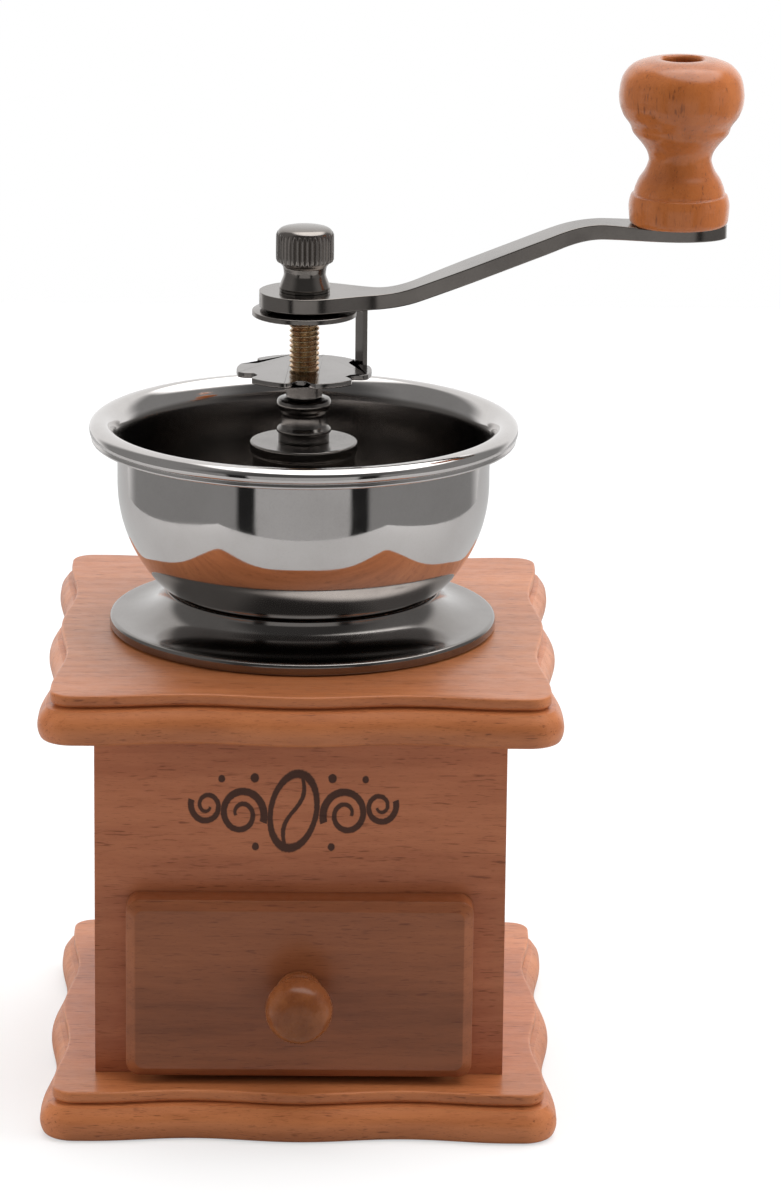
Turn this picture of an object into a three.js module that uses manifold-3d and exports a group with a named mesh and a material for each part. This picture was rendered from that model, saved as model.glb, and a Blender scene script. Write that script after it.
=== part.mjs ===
// A hand cranked box mill for coffee: a wooden case with a drawer, a metal bean bowl on a flange,
// and a conical burr mill whose shaft, adjusting disc, lock plate and crank stand over the bowl.
// Millimetres, +Z up, front towards -Y. The origin is the middle of the base board's underside.

import * as THREE from "three";
import { mergeVertices } from "three/addons/utils/BufferGeometryUtils.js";
import Module from "manifold-3d";

// Clearances
const jointGap = 0.1; // between wooden pieces glued or screwed together
const seatGap = 0.3; // between pieces that rest on or against each other
const holeGap = 0.25; // round a screw or a shaft in its hole
const overrun = 1; // how far a cutting tool passes the face it cuts
const mergeDistance = 1e-4; // points nearer than this are one
const roundSides = 44; // sides of the large turned pieces
const middleSides = 28; // sides of the middling ones
const smallSides = 20; // sides of the small ones
const shaftSides = 16; // sides of the shaft and what it carries
const holeSides = 12; // sides of screws, dowels and their holes

// Base and top boards: one moulding, a large half round bead under a thin upper step
const boardWidth = 120;
const boardDepth = 130;
const boardThick = 11.5;
const boardCorner = 8;
const stepHeight = 3.1;
const stepInset = 2.9;
const quirkInset = 4;
const scallopDepth = 2.3;
const valleyShare = 0.47; // place of a valley, from the middle of a side to its corner
const beadShares = [
  [0.6, 0],
  [0.18, 0.08],
  [0, 0.34],
  [0.1, 0.66],
  [0.5, 0.94],
]; // of the quirk's inset, and of the bead's height
const sidePoints = 15;
const cornerPoints = 3;

// Case panels
const boardSideOverhang = 12.5; // of the boards past the case
const boardEndOverhang = 16.7;
const panelThick = 8;
const panelHeight = 83.8;

// Case screws and dowels
const caseFastenerSpread = 50; // front to back
const caseScrewRadius = 1.8;
const caseScrewHeadRadius = 3.6;
const caseScrewHeadHeight = 2.4;
const caseScrewLength = 24;
const caseScrewSink = 0.8;
const dowelRadius = 2.5;
const dowelLength = 18;
const dowelInBoard = 6;

// Drawer and its runners
const drawerFrontLap = 2.95; // past the opening at each side
const drawerFrontHeight = 42.85;
const drawerFrontThick = 8;
const drawerFrontEdge = 2;
const drawerFrontLift = 1.85;
const drawerFrontCorner = 3.2;
const drawerBoxHeight = 33;
const drawerBoxLift = 0.4;
const drawerBackGap = 4.8;
const drawerSideGap = 1; // to the opening's sides
const drawerTopGap = 2.8; // to the opening's top
const drawerSideThick = 5;
const drawerBottomThick = 3;
const drawerBottomLift = 1;
const runnerThick = 3;
const runnerHeight = 12;
const runnerEndGap = 2.3;
const runnerClearance = 0.4;

// Drawer knob and its screw
const drawerKnobRadius = 7.7;
const drawerKnobLength = 17.5;
const drawerKnobDrop = 0.6; // below the middle of the drawer front
const drawerKnobShares = [
  [0.72, 0],
  [0.7, 0.1],
  [0.56, 0.2],
  [0.6, 0.3],
  [0.86, 0.42],
  [0.98, 0.56],
  [1, 0.66],
  [0.95, 0.78],
  [0.78, 0.9],
  [0.5, 0.97],
  [0.2, 1],
];
const knobScrewRadius = 1.7;
const knobScrewHeadRadius = 3.4;
const knobScrewHeadHeight = 1.6;
const knobScrewDepth = 8; // into the knob

// Flange ring
const flangeRadius = 45.7;
const flangeEdge = 2.9;
const flangeEdgeRound = 0.6;
const flangeLand = 2.7; // flat band inside the edge
const flangeWall = 1.8;
const neckWall = 1.1; // outside the clamping screws' heads
const neckHeight = 9.3;
const seatSetback = 1.8;
const seatHeight = 1.8;
const boardHoleGap = 0.5; // round the burr ring

// Bean bowl
const bowlRadius = 43.8;
const bowlFootOverhang = 1.8; // past the neck
const bowlCurveRadius = 34;
const bowlHeight = 38.6;
const bowlWall = 1.2;
const bowlHoleLip = 0.9; // inside the burr ring's outside
const rimWidth = 6.6;
const rimHeight = 5.4;
const rimShares = [
  [0, 0],
  [0.1, 0.14],
  [0.86, 0.15],
  [0.93, 0.26],
  [0.89, 0.37],
  [1, 0.55],
  [0.97, 0.8],
  [0.8, 0.96],
  [0.55, 1],
  [0.3, 0.88],
  [0.04, 0.42],
]; // of the rim's width outside the wall, and of its height

// Bearing bridge in the bowl
const capRadius = 12.7;
const capThick = 3;
const capChamfer = 0.5;
const bridgeHeight = 32.3; // bowl floor to cap top
const bridgeWall = 2;
const bridgeShoulder = 6; // straight part under the cap
const bridgeLegSetback = 1; // inside the bowl's hole
const bridgeFootSetback = 2.2; // inside the bowl's foot
const bridgeFootThick = 1.7;
const windowHeight = 15;
const windowWidth = 17;
const legCount = 3;

// Guide bush on the cap
const bushRadius = 6.2;
const bushHeight = 15.5;
const bushClearance = 0.15;
const bushSpigotRadius = 5;
const bushShares = [
  [0.97, 0],
  [0.97, 0.14],
  [1.03, 0.15],
  [1.03, 0.19],
  [0.9, 0.26],
  [0.84, 0.44],
  [0.94, 0.48],
  [1.02, 0.54],
  [1.02, 0.6],
  [0.92, 0.66],
  [0.7, 0.68],
  [0.68, 1],
];

// Outer burr ring
const burrRingRadius = 23.9;
const burrFlangeEdge = 1.3; // past the clamping nuts
const burrFlangeThick = 3.6;
const mouthLip = 2.3;
const mouthDepth = 7;
const throatRadius = 16.4;
const grindGap = 1.4; // between the burrs at the bottom
const burrGrooveDepth = 0.9;
const burrPoints = 36;

// Screws and nuts that clamp bowl, flange, board and burr ring
const clampEdge = 1.7; // board left between its hole and a screw
const clampScrewRadius = 1.7;
const clampHeadRadius = 3.5;
const clampHeadHeight = 2.1;
const clampScrewEnd = 1; // past the nut
const clampNutRadius = 3.9;
const clampNutThick = 3;

// Centre shaft
const shaftRadius = 3.5;
const threadDepth = 0.55;
const threadPitch = 1.2;
const threadBelowDisc = 5;
const shaftSquare = 6;
const shaftTailRadius = 2.4;
const shaftTopRadius = 2.8;
const shaftFlatLedge = 0.05; // the flats stand this far outside the top's round
const shaftTopLength = 10.5;

// Inner burr
const coneTopRadius = 7.5;
const coneBaseRadius = 18.2;
const coneHeight = 22;
const coneDrop = 1.4; // its base edge above the ring's lower face
const coneRidgeDepth = 1.1;
const coneRidges = 12;
const coneTwist = 0.9; // radians from base to top
const coneStepHeight = 1.2;
const coneLevels = 4;

// Spring, washers and nut under the bridge and the burr
const springRadius = 5.1;
const springWire = 1;
const springTurns = 8;
const springStepsPerTurn = 8;
const springSides = 5;
const springWasherRadius = 6.8;
const washerThick = 1;
const burrWasherRadius = 5.4;
const burrNutRadius = 4.6;
const burrNutThick = 4;

// Adjusting disc
const discRadius = 16.1;
const discThick = 1.3;
const notchCount = 6;
const notchAngle = 27; // degrees, where the lock plate's leg stands
const notchDepth = 3.1;
const notchSideGap = 0.4; // beside the leg
const notchMouthFlare = 1.2;
const notchMouthDepth = 0.9;
const notchFloorShare = 0.7; // width of a notch's floor, of its width at the mouth
const discArcSteps = 6;

// Lock plate
const plateRadius = 12.3;
const plateThick = 1.2;
const plateAboveDisc = 13.7;
const plateDish = 0.7; // its rim below its middle
const plateFlatShare = 0.6;
const legWidth = 4;
const legInsideGap = 1.4; // to the notch's floor
const legBelowDisc = 1;

// Crank arm
const crankRadius = 86.9;
const crankRise = 17.05;
const crankThick = 3.55;
const paddleThick = 2.95;
const hubRadius = 10.65;
const paddleHalf = 7.2;
const paddleEnd = 11.3; // past the pin
const waistHalf = 4.1;
const swellHalf = 5.8;
const bendLength = 11;
const firstBendShare = 0.246; // these places along the arm are shares of the crank's radius
const secondBendShare = 0.74;
const hubTaperShare = 0.228;
const swellStartShare = 0.219;
const swellFullShares = [0.461, 0.633];
const swellEndShare = 0.783;
const paddleStartShare = 0.94;
const armStations = 34;
const hubSteps = 8;

// Thumb nut and its washer
const nutRadius = 6.75;
const nutHeight = 14.75;
const knurlDepth = 0.35;
const knurlCount = 34;
const nutShares = [
  [0.86, 0],
  [0.885, 0.02],
  [0.815, 0.107],
  [0.772, 0.155],
  [0.732, 0.203],
  [0.728, 0.25],
  [0.758, 0.347],
  [0.843, 0.395],
  [0.93, 0.45],
  [0.93, 0.885],
  [0.9, 0.925],
  [0.77, 0.965],
  [0.45, 0.992],
  [0.1, 1],
];
const knurlFromShare = 0.45;
const knurlToShare = 0.87;
const knurlRidgeShares = [0.25, 0.5]; // a ridge's corners, of one step round the nut
const knurlGrooveShare = 0.875;
const nutWasherRadius = 5.9;
const nutWasherThick = 0.5;
const nutWasherGap = 0.1;

// Crank knob and its pin
const knobRadius = 14.5;
const knobHeight = 38.7;
const knobHeadGap = 0.75; // round the pin's head
const knobCounterboreDepth = 24.6;
const knobShares = [
  [0.75, 0],
  [0.79, 0.02],
  [0.808, 0.083],
  [0.808, 0.122],
  [0.77, 0.179],
  [0.728, 0.191],
  [0.705, 0.229],
  [0.648, 0.277],
  [0.563, 0.325],
  [0.512, 0.374],
  [0.506, 0.403],
  [0.543, 0.447],
  [0.634, 0.496],
  [0.75, 0.546],
  [0.806, 0.592],
  [0.841, 0.617],
  [0.933, 0.666],
  [0.981, 0.713],
  [1, 0.757],
  [1, 0.797],
  [0.972, 0.861],
  [0.917, 0.905],
  [0.794, 0.952],
  [0.62, 0.986],
  [0.345, 1],
];
const knobLipShare = 0.99;
const pinRadius = 2.5;
const pinHeadRadius = 4;
const pinHeadHeight = 2.4;
const pinGap = 0.2;

// Heights that follow from the sizes above
const baseTop = boardThick;
const panelBottom = baseTop + jointGap;
const panelTop = panelBottom + panelHeight;
const topBoardBottom = panelTop + jointGap;
const topBoardTop = topBoardBottom + boardThick;
const flangeBottom = topBoardTop + jointGap;
const neckTop = flangeBottom + neckHeight;
const seatTop = neckTop + seatHeight;
const bowlBottom = seatTop + jointGap;
const bowlFloor = bowlBottom + bowlWall;
const bowlTop = bowlBottom + bowlHeight;
const footBottom = bowlFloor + jointGap;
const capTop = bowlFloor + bridgeHeight;
const capBottom = capTop - capThick;
const bushBottom = capTop + jointGap;
const bushTop = bushBottom + bushHeight;
const discBottom = bushTop + seatGap;
const discTop = discBottom + discThick;
const plateBottom = discTop + plateAboveDisc;
const plateTop = plateBottom + plateThick;
const armBottom = plateTop + seatGap;
const armTop = armBottom + crankThick;
const nutWasherBottom = armTop + nutWasherGap;
const nutBottom = nutWasherBottom + nutWasherThick + nutWasherGap;
const paddleTop = armBottom + crankRise + paddleThick;
const knobBottom = paddleTop + seatGap;
const burrFlangeTop = topBoardBottom - jointGap;
const burrRingBottom = burrFlangeTop - burrFlangeThick;
const burrRingTop = neckTop - seatGap - flangeWall;
const coneBottom = burrRingBottom + coneDrop;
const coneTop = coneBottom + coneHeight;
const springWasherTop = capBottom - seatGap;
const springWasherBottom = springWasherTop - washerThick;
const burrWasherTop = coneBottom - jointGap;
const burrWasherBottom = burrWasherTop - washerThick;
const burrNutTop = burrWasherBottom - jointGap;
const burrNutBottom = burrNutTop - burrNutThick;
const clampHeadBottom = footBottom + bridgeFootThick + jointGap;
const clampNutTop = burrRingBottom - jointGap;
const clampNutBottom = clampNutTop - clampNutThick;

// Radii that follow
const boardHoleRadius = burrRingRadius + boardHoleGap;
const clampCircle = boardHoleRadius + clampEdge + clampScrewRadius;
const neckRadius = clampCircle + clampHeadRadius + neckWall;
const seatRadius = neckRadius - seatSetback;
const flangeFlatRadius = flangeRadius - flangeLand;
const bowlFootRadius = neckRadius + bowlFootOverhang;
const bowlHoleRadius = burrRingRadius - bowlHoleLip;
const bridgeLegRadius = bowlHoleRadius - bridgeLegSetback;
const bridgeFootRadius = bowlFootRadius - bridgeFootSetback;
const burrFlangeRadius = clampCircle + clampNutRadius + burrFlangeEdge;
const mouthRadius = burrRingRadius - mouthLip;
const grindRadius = coneBaseRadius + grindGap;
const legInner = discRadius - notchDepth + legInsideGap;
const knobCounterbore = pinHeadRadius + knobHeadGap;

// Places of the case's front and of the drawer
const caseHalf = boardWidth / 2 - boardSideOverhang;
const caseFront = boardEndOverhang - boardDepth / 2;
const innerHalf = caseHalf - panelThick;
const innerFront = caseFront + panelThick;
const sideMiddle = caseHalf - panelThick / 2;
const drawerFrontBack = caseFront - seatGap;
const drawerFace = drawerFrontBack - drawerFrontThick;
const drawerFrontBottom = baseTop + drawerFrontLift;
const drawerMiddle = drawerFrontBottom + drawerFrontHeight / 2;
const drawerKnobLevel = drawerMiddle - drawerKnobDrop;
const drawerBoxBottom = baseTop + drawerBoxLift;
const drawerBoxFront = drawerFrontBack + jointGap;
const drawerBoxBack = -innerFront - drawerBackGap;
const drawerBoxHalf = innerHalf - runnerThick - runnerClearance;
const openingHalf = drawerBoxHalf + drawerSideGap;
const openingTop = drawerBoxBottom + drawerBoxHeight + drawerTopGap;

const wasm = await Module();
wasm.setup();

const materials = {
  caseWood: finish(0xa8622f, 0.45, 0),
  turnedWood: finish(0xb36b38, 0.35, 0),
  drawerWood: finish(0xc79d6b, 0.7, 0),
  mirrorMetal: finish(0x6a6663, 0.12, 1),
  armMetal: finish(0x6f6a63, 0.3, 1),
  shaftMetal: finish(0xb08a45, 0.3, 1),
  castIron: finish(0x3a3a3c, 0.6, 0.8),
  steel: finish(0x9a9a98, 0.35, 1),
};

function finish(color, roughness, metalness) {
  return new THREE.MeshStandardMaterial({ color, roughness, metalness });
}

// Booleans on closed geometries
function solid(geometry) {
  const plain = geometry.index ? geometry.toNonIndexed() : geometry.clone();
  plain.deleteAttribute("normal");
  plain.deleteAttribute("uv");
  const merged = mergeVertices(plain, mergeDistance);
  const index = merged.index.array;
  const triVerts = [];
  for (let i = 0; i < index.length; i += 3) {
    const [a, b, c] = [index[i], index[i + 1], index[i + 2]];
    if (a !== b && b !== c && c !== a) triVerts.push(a, b, c);
  }
  return new wasm.Manifold(
    new wasm.Mesh({
      numProp: 3,
      vertProperties: merged.attributes.position.array,
      triVerts: new Uint32Array(triVerts),
    }),
  );
}

function geometryOf(manifold) {
  const mesh = manifold.getMesh();
  const positions = new Float32Array(mesh.triVerts.length * 3);
  mesh.triVerts.forEach((vertex, i) => {
    const from = vertex * mesh.numProp;
    positions.set(mesh.vertProperties.subarray(from, from + 3), i * 3);
  });
  const geometry = new THREE.BufferGeometry();
  geometry.setAttribute("position", new THREE.BufferAttribute(positions, 3));
  geometry.computeVertexNormals();
  return geometry;
}

// A body turned about the Z axis from [radius, height] points, anticlockwise round the section.
function turned(points, sides = roundSides) {
  const profile = points.map(([radius, height]) => new THREE.Vector2(radius, height));
  return new THREE.LatheGeometry(profile, sides).rotateX(Math.PI / 2);
}

// A turned body whose outline starts and ends on the axis.
function turnedSolid(points, sides) {
  const bottom = points[0][1];
  const top = points[points.length - 1][1];
  return turned([[0, bottom], ...points, [0, top]], sides);
}

// A turned body with a hole or hollow: the section closes on itself.
function turnedRing(points, sides) {
  return turned([...points, points[0]], sides);
}

function rod(radius, bottom, top, sides = smallSides) {
  return turnedSolid([[radius, bottom], [radius, top]], sides);
}

function tube(inner, outer, bottom, top, sides = smallSides) {
  return turnedRing([[inner, bottom], [outer, bottom], [outer, top], [inner, top]], sides);
}

function block(x0, x1, y0, y1, z0, z1) {
  const box = new THREE.BoxGeometry(x1 - x0, y1 - y0, z1 - z0);
  return box.translate((x0 + x1) / 2, (y0 + y1) / 2, (z0 + z1) / 2);
}

function prism(outline, bottom, top) {
  const shape = new THREE.Shape(outline.map(([x, y]) => new THREE.Vector2(x, y)));
  const settings = { depth: top - bottom, bevelEnabled: false, curveSegments: 6 };
  return new THREE.ExtrudeGeometry(shape, settings).translate(0, 0, bottom);
}

function hexagon(radius, bottom, top) {
  return rod(radius, bottom, top, 6);
}

// A closed skin over loops of equally many [x, y, z] points. It is capped at both ends,
// or joined from the last loop to the first.
function skin(loops, joined = false) {
  const count = loops[0].length;
  const positions = [];
  const face = (a, b, c) => positions.push(...a, ...b, ...c);
  const pairs = joined ? loops.length : loops.length - 1;
  for (let i = 0; i < pairs; i++) {
    const low = loops[i];
    const high = loops[(i + 1) % loops.length];
    for (let k = 0; k < count; k++) {
      const next = (k + 1) % count;
      face(low[k], low[next], high[next]);
      face(low[k], high[next], high[k]);
    }
  }
  if (!joined) {
    const bottom = middle(loops[0]);
    const top = middle(loops[loops.length - 1]);
    for (let k = 0; k < count; k++) {
      const next = (k + 1) % count;
      face(bottom, loops[0][next], loops[0][k]);
      face(top, loops[loops.length - 1][k], loops[loops.length - 1][next]);
    }
  }
  const geometry = new THREE.BufferGeometry();
  geometry.setAttribute("position", new THREE.Float32BufferAttribute(positions, 3));
  geometry.computeVertexNormals();
  return geometry;
}

function middle(loop) {
  return [0, 1, 2].map((axis) => loop.reduce((sum, point) => sum + point[axis], 0) / loop.length);
}

function onCircle(radius, degrees) {
  const angle = THREE.MathUtils.degToRad(degrees);
  return [radius * Math.cos(angle), radius * Math.sin(angle)];
}

function smooth(value, from, to) {
  return THREE.MathUtils.smoothstep(value, from, to);
}

const mill = new THREE.Group();

function addPart(name, shape, material, group = mill) {
  const geometry = shape.isBufferGeometry ? shape : geometryOf(shape);
  const mesh = new THREE.Mesh(geometry, material);
  mesh.name = name;
  group.add(mesh);
  return mesh;
}

// Boards

function valley(share) {
  const along = Math.abs(share) / valleyShare;
  return along > 2 ? 0 : (1 - Math.cos(Math.PI * along)) / 2;
}

function boardLoop(inset, height) {
  const corner = boardCorner - inset;
  const loop = [];
  for (let side = 0; side < 4; side++) {
    const turn = (side * Math.PI) / 2;
    const [across, length] = side % 2 ? [boardDepth, boardWidth] : [boardWidth, boardDepth];
    const half = across / 2 - inset;
    const straight = length / 2 - inset - corner;
    const put = (out, along) => {
      const x = out * Math.cos(turn) - along * Math.sin(turn);
      const y = out * Math.sin(turn) + along * Math.cos(turn);
      loop.push([x, y, height]);
    };
    for (let i = 0; i < sidePoints; i++) {
      const share = (2 * i) / sidePoints - 1;
      put(half - scallopDepth * valley(share), share * straight);
    }
    for (let i = 0; i < cornerPoints; i++) {
      const angle = ((i / cornerPoints) * Math.PI) / 2;
      put(half - corner * (1 - Math.cos(angle)), straight + corner * Math.sin(angle));
    }
  }
  return loop;
}

function board(bottom) {
  const beadHeight = boardThick - stepHeight;
  const beadLoops = beadShares.map(([inset, height]) => {
    return boardLoop(inset * quirkInset, bottom + height * beadHeight);
  });
  const stepLoops = [
    boardLoop(quirkInset, bottom + beadHeight),
    boardLoop(stepInset, bottom + beadHeight + stepHeight / 6),
    boardLoop(stepInset, bottom + boardThick - stepHeight / 4),
    boardLoop(quirkInset, bottom + boardThick),
  ];
  return solid(skin([...beadLoops, ...stepLoops]));
}

function fastenerPlaces() {
  const places = [];
  for (const x of [-sideMiddle, sideMiddle])
    for (const y of [-caseFastenerSpread / 2, caseFastenerSpread / 2]) places.push([x, y]);
  return places;
}

function baseBoard() {
  return fastenerPlaces().reduce((base, [x, y]) => {
    const hole = rod(caseScrewRadius + holeGap, -overrun, boardThick + overrun, holeSides);
    const sinkTop = caseScrewSink + caseScrewHeadHeight + holeGap;
    const sink = turnedSolid([
      [caseScrewHeadRadius + holeGap, -overrun],
      [caseScrewHeadRadius + holeGap, caseScrewSink],
      [caseScrewRadius + holeGap, sinkTop],
    ], holeSides);
    const cutter = solid(hole).add(solid(sink)).translate(x, y, 0);
    return base.subtract(cutter);
  }, board(0));
}

function topBoard() {
  let top = board(topBoardBottom);
  const through = [topBoardBottom - overrun, topBoardTop + overrun];
  top = top.subtract(solid(rod(boardHoleRadius, ...through, roundSides)));
  for (const [x, y] of clampPlaces()) {
    const hole = rod(clampScrewRadius + holeGap, ...through, holeSides);
    top = top.subtract(solid(hole).translate(x, y, 0));
  }
  for (const [x, y] of fastenerPlaces()) {
    const end = dowelTop() + seatGap;
    const blind = rod(dowelRadius + jointGap, topBoardBottom - overrun, end, holeSides);
    top = top.subtract(solid(blind).translate(x, y, 0));
  }
  return top;
}

function dowelTop() {
  return topBoardBottom + dowelInBoard;
}

// Case panels

function frontPanel() {
  const panel = block(-caseHalf, caseHalf, caseFront, innerFront, panelBottom, panelTop);
  const opening = block(
    -openingHalf,
    openingHalf,
    caseFront - overrun,
    innerFront + overrun,
    panelBottom - overrun,
    openingTop,
  );
  return solid(panel).subtract(solid(opening)).subtract(burrRelief());
}

function backPanel() {
  const panel = block(-caseHalf, caseHalf, -innerFront, -caseFront, panelBottom, panelTop);
  return solid(panel).subtract(burrRelief());
}

// Room for the burr ring and its nuts, which a narrower case would need in its panels.
function burrRelief() {
  const bottom = clampNutBottom - clampScrewEnd - seatGap;
  return solid(rod(burrFlangeRadius + seatGap, bottom, panelTop + overrun, burrPoints));
}

function sidePanel(sign) {
  const outer = sign * caseHalf;
  const inner = sign * innerHalf;
  const reach = -innerFront - jointGap;
  const low = Math.min(outer, inner);
  const high = Math.max(outer, inner);
  let panel = solid(block(low, high, -reach, reach, panelBottom, panelTop));
  for (const [x, y] of fastenerPlaces().filter(([place]) => Math.sign(place) === sign)) {
    const screwEnd = caseScrewSink + caseScrewLength + seatGap;
    const screwHole = rod(caseScrewRadius + jointGap, panelBottom - overrun, screwEnd, holeSides);
    const dowelEnd = dowelTop() - dowelLength - seatGap;
    const dowelHole = rod(dowelRadius + jointGap, dowelEnd, panelTop + overrun, holeSides);
    panel = panel.subtract(solid(screwHole).translate(x, y, 0));
    panel = panel.subtract(solid(dowelHole).translate(x, y, 0));
  }
  return panel.subtract(burrRelief());
}

function caseScrew() {
  const top = caseScrewSink + caseScrewLength;
  return turnedSolid([
    [caseScrewHeadRadius, caseScrewSink],
    [caseScrewRadius, caseScrewSink + caseScrewHeadHeight],
    [caseScrewRadius, top - caseScrewRadius],
    [caseScrewRadius / 4, top],
  ], holeSides);
}

function buildCase() {
  addPart("base_board", baseBoard(), materials.caseWood);
  addPart("top_board", topBoard(), materials.caseWood);
  addPart("front_panel", frontPanel(), materials.caseWood);
  addPart("back_panel", backPanel(), materials.caseWood);
  addPart("left_panel", sidePanel(-1), materials.caseWood);
  addPart("right_panel", sidePanel(1), materials.caseWood);
  for (const [name, sign] of [["left", -1], ["right", 1]]) {
    const outer = sign * (innerHalf - jointGap);
    const inner = sign * (drawerBoxHalf + runnerClearance);
    const low = Math.min(outer, inner);
    const high = Math.max(outer, inner);
    const reach = -innerFront - runnerEndGap;
    const runner = block(low, high, -reach, reach, panelBottom, panelBottom + runnerHeight);
    addPart(name + "_drawer_runner", runner, materials.caseWood);
  }
  fastenerPlaces().forEach(([x, y], i) => {
    addPart("case_screw_" + (i + 1), caseScrew(), materials.steel).position.set(x, y, 0);
    const dowel = rod(dowelRadius, dowelTop() - dowelLength, dowelTop(), holeSides);
    addPart("case_dowel_" + (i + 1), dowel, materials.drawerWood).position.set(x, y, 0);
  });
}

// Drawer

function roundedRectangle(halfWidth, halfHeight, corner) {
  const shape = new THREE.Shape();
  shape.moveTo(halfWidth, corner - halfHeight);
  shape.lineTo(halfWidth, halfHeight - corner);
  shape.absarc(halfWidth - corner, halfHeight - corner, corner, 0, Math.PI / 2);
  shape.lineTo(corner - halfWidth, halfHeight);
  shape.absarc(corner - halfWidth, halfHeight - corner, corner, Math.PI / 2, Math.PI);
  shape.lineTo(-halfWidth, corner - halfHeight);
  shape.absarc(corner - halfWidth, corner - halfHeight, corner, Math.PI, Math.PI * 1.5);
  shape.lineTo(halfWidth - corner, -halfHeight);
  shape.absarc(halfWidth - corner, corner - halfHeight, corner, Math.PI * 1.5, Math.PI * 2);
  return shape.getPoints(3).map((point) => [point.x, point.y]);
}

function drawerFront() {
  const loop = (inset, depth) => {
    const halfWidth = openingHalf + drawerFrontLap - inset;
    const halfHeight = drawerFrontHeight / 2 - inset;
    const outline = roundedRectangle(halfWidth, halfHeight, drawerFrontCorner);
    return dropRepeats(outline).map(([x, z]) => [x, drawerFrontBack - depth, drawerMiddle + z]);
  };
  const edge = drawerFrontEdge;
  const front = skin([
    loop(0, 0),
    loop(0, drawerFrontThick - edge),
    loop(edge / 4, drawerFrontThick - edge / 3),
    loop(edge, drawerFrontThick),
  ]);
  const hole = rod(knobScrewRadius + holeGap, -drawerFrontThick - overrun, overrun);
  hole.rotateX(-Math.PI / 2).translate(0, drawerFrontBack, drawerKnobLevel);
  return solid(front).subtract(solid(hole));
}

function dropRepeats(outline) {
  return outline.filter(([x, y], i) => {
    const [px, py] = outline[(i + outline.length - 1) % outline.length];
    return Math.hypot(x - px, y - py) > jointGap;
  });
}

function drawerKnob() {
  const points = drawerKnobShares.map(([radius, along]) => {
    return [radius * drawerKnobRadius, along * drawerKnobLength];
  });
  const knob = solid(turnedSolid(points, smallSides));
  const hole = rod(knobScrewRadius + holeGap, -overrun, knobScrewDepth + seatGap);
  return knob.subtract(solid(hole));
}

function drawerKnobScrew() {
  const headTop = -drawerFrontThick - 2 * seatGap;
  return turnedSolid([
    [knobScrewHeadRadius / 2, headTop - knobScrewHeadHeight],
    [knobScrewHeadRadius, headTop - knobScrewHeadHeight / 2],
    [knobScrewHeadRadius, headTop],
    [knobScrewRadius, headTop],
    [knobScrewRadius, knobScrewDepth - knobScrewRadius],
    [knobScrewRadius / 4, knobScrewDepth],
  ], holeSides);
}

function buildDrawer() {
  const half = drawerBoxHalf;
  const top = drawerBoxBottom + drawerBoxHeight;
  const inner = half - drawerSideThick;
  addPart("drawer_front", drawerFront(), materials.caseWood);
  const leftSide = block(-half, -inner, drawerBoxFront, drawerBoxBack, drawerBoxBottom, top);
  const rightSide = block(inner, half, drawerBoxFront, drawerBoxBack, drawerBoxBottom, top);
  addPart("drawer_left_side", leftSide, materials.drawerWood);
  addPart("drawer_right_side", rightSide, materials.drawerWood);
  const between = inner - jointGap;
  const backFront = drawerBoxBack - drawerSideThick;
  const back = block(-between, between, backFront, drawerBoxBack, drawerBoxBottom, top);
  addPart("drawer_back", back, materials.drawerWood);
  const floorBottom = drawerBoxBottom + drawerBottomLift;
  const floorTop = floorBottom + drawerBottomThick;
  const floorBack = backFront - jointGap;
  const floor = block(-between, between, drawerBoxFront, floorBack, floorBottom, floorTop);
  addPart("drawer_bottom", floor, materials.drawerWood);
  const knobGroup = new THREE.Group();
  knobGroup.position.set(0, drawerFace - seatGap, drawerKnobLevel);
  knobGroup.rotation.x = Math.PI / 2;
  addPart("drawer_knob", drawerKnob(), materials.turnedWood, knobGroup);
  addPart("drawer_knob_screw", drawerKnobScrew(), materials.steel, knobGroup);
  mill.add(knobGroup);
}

// Fixed part of the mill

function clampPlaces() {
  const places = [];
  for (let i = 0; i < legCount; i++) places.push(onCircle(clampCircle, 90 + (i * 360) / legCount));
  return places;
}

function cutAt(body, cutter, places) {
  return places.reduce((rest, [x, y]) => rest.subtract(cutter.translate(x, y, 0)), body);
}

// Points of a hollow curve from a flat rim up to an upright neck.
function flare(outer, inner, bottom, top, steps) {
  const points = [];
  for (let i = 0; i <= steps; i++) {
    const angle = ((i / steps) * Math.PI) / 2;
    const radius = outer - (outer - inner) * Math.sin(angle);
    points.push([radius, bottom + (top - bottom) * (1 - Math.cos(angle))]);
  }
  return points;
}

function flangeRing() {
  const edgeTop = flangeBottom + flangeEdge;
  const underTop = neckTop - flangeWall;
  const upper = flare(flangeFlatRadius, neckRadius, edgeTop, neckTop, 4);
  const lower = flare(flangeFlatRadius, neckRadius - flangeWall, flangeBottom, underTop, 2);
  const ring = turnedRing([
    [flangeFlatRadius, flangeBottom],
    [flangeRadius, flangeBottom],
    [flangeRadius, edgeTop - flangeEdgeRound],
    [flangeRadius - flangeEdgeRound, edgeTop],
    ...upper,
    [seatRadius, neckTop],
    [seatRadius, seatTop],
    [boardHoleRadius, seatTop],
    [boardHoleRadius, underTop],
    ...lower.reverse().slice(0, -1),
  ]);
  const bottom = flangeBottom - overrun;
  const hole = solid(rod(clampScrewRadius + holeGap, bottom, seatTop + overrun, holeSides));
  return cutAt(solid(ring), hole, clampPlaces());
}

function bowlCurve(offset, steps) {
  const points = [];
  const radius = bowlCurveRadius - offset;
  const centre = bowlRadius - bowlCurveRadius;
  const sweep = Math.acos(1 - (bowlRadius - bowlFootRadius) / bowlCurveRadius);
  const level = bowlBottom + bowlCurveRadius * Math.sin(sweep);
  for (let i = 0; i <= steps; i++) {
    const angle = sweep * (1 - i / steps);
    points.push([centre + radius * Math.cos(angle), level - radius * Math.sin(angle)]);
  }
  return points;
}

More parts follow.
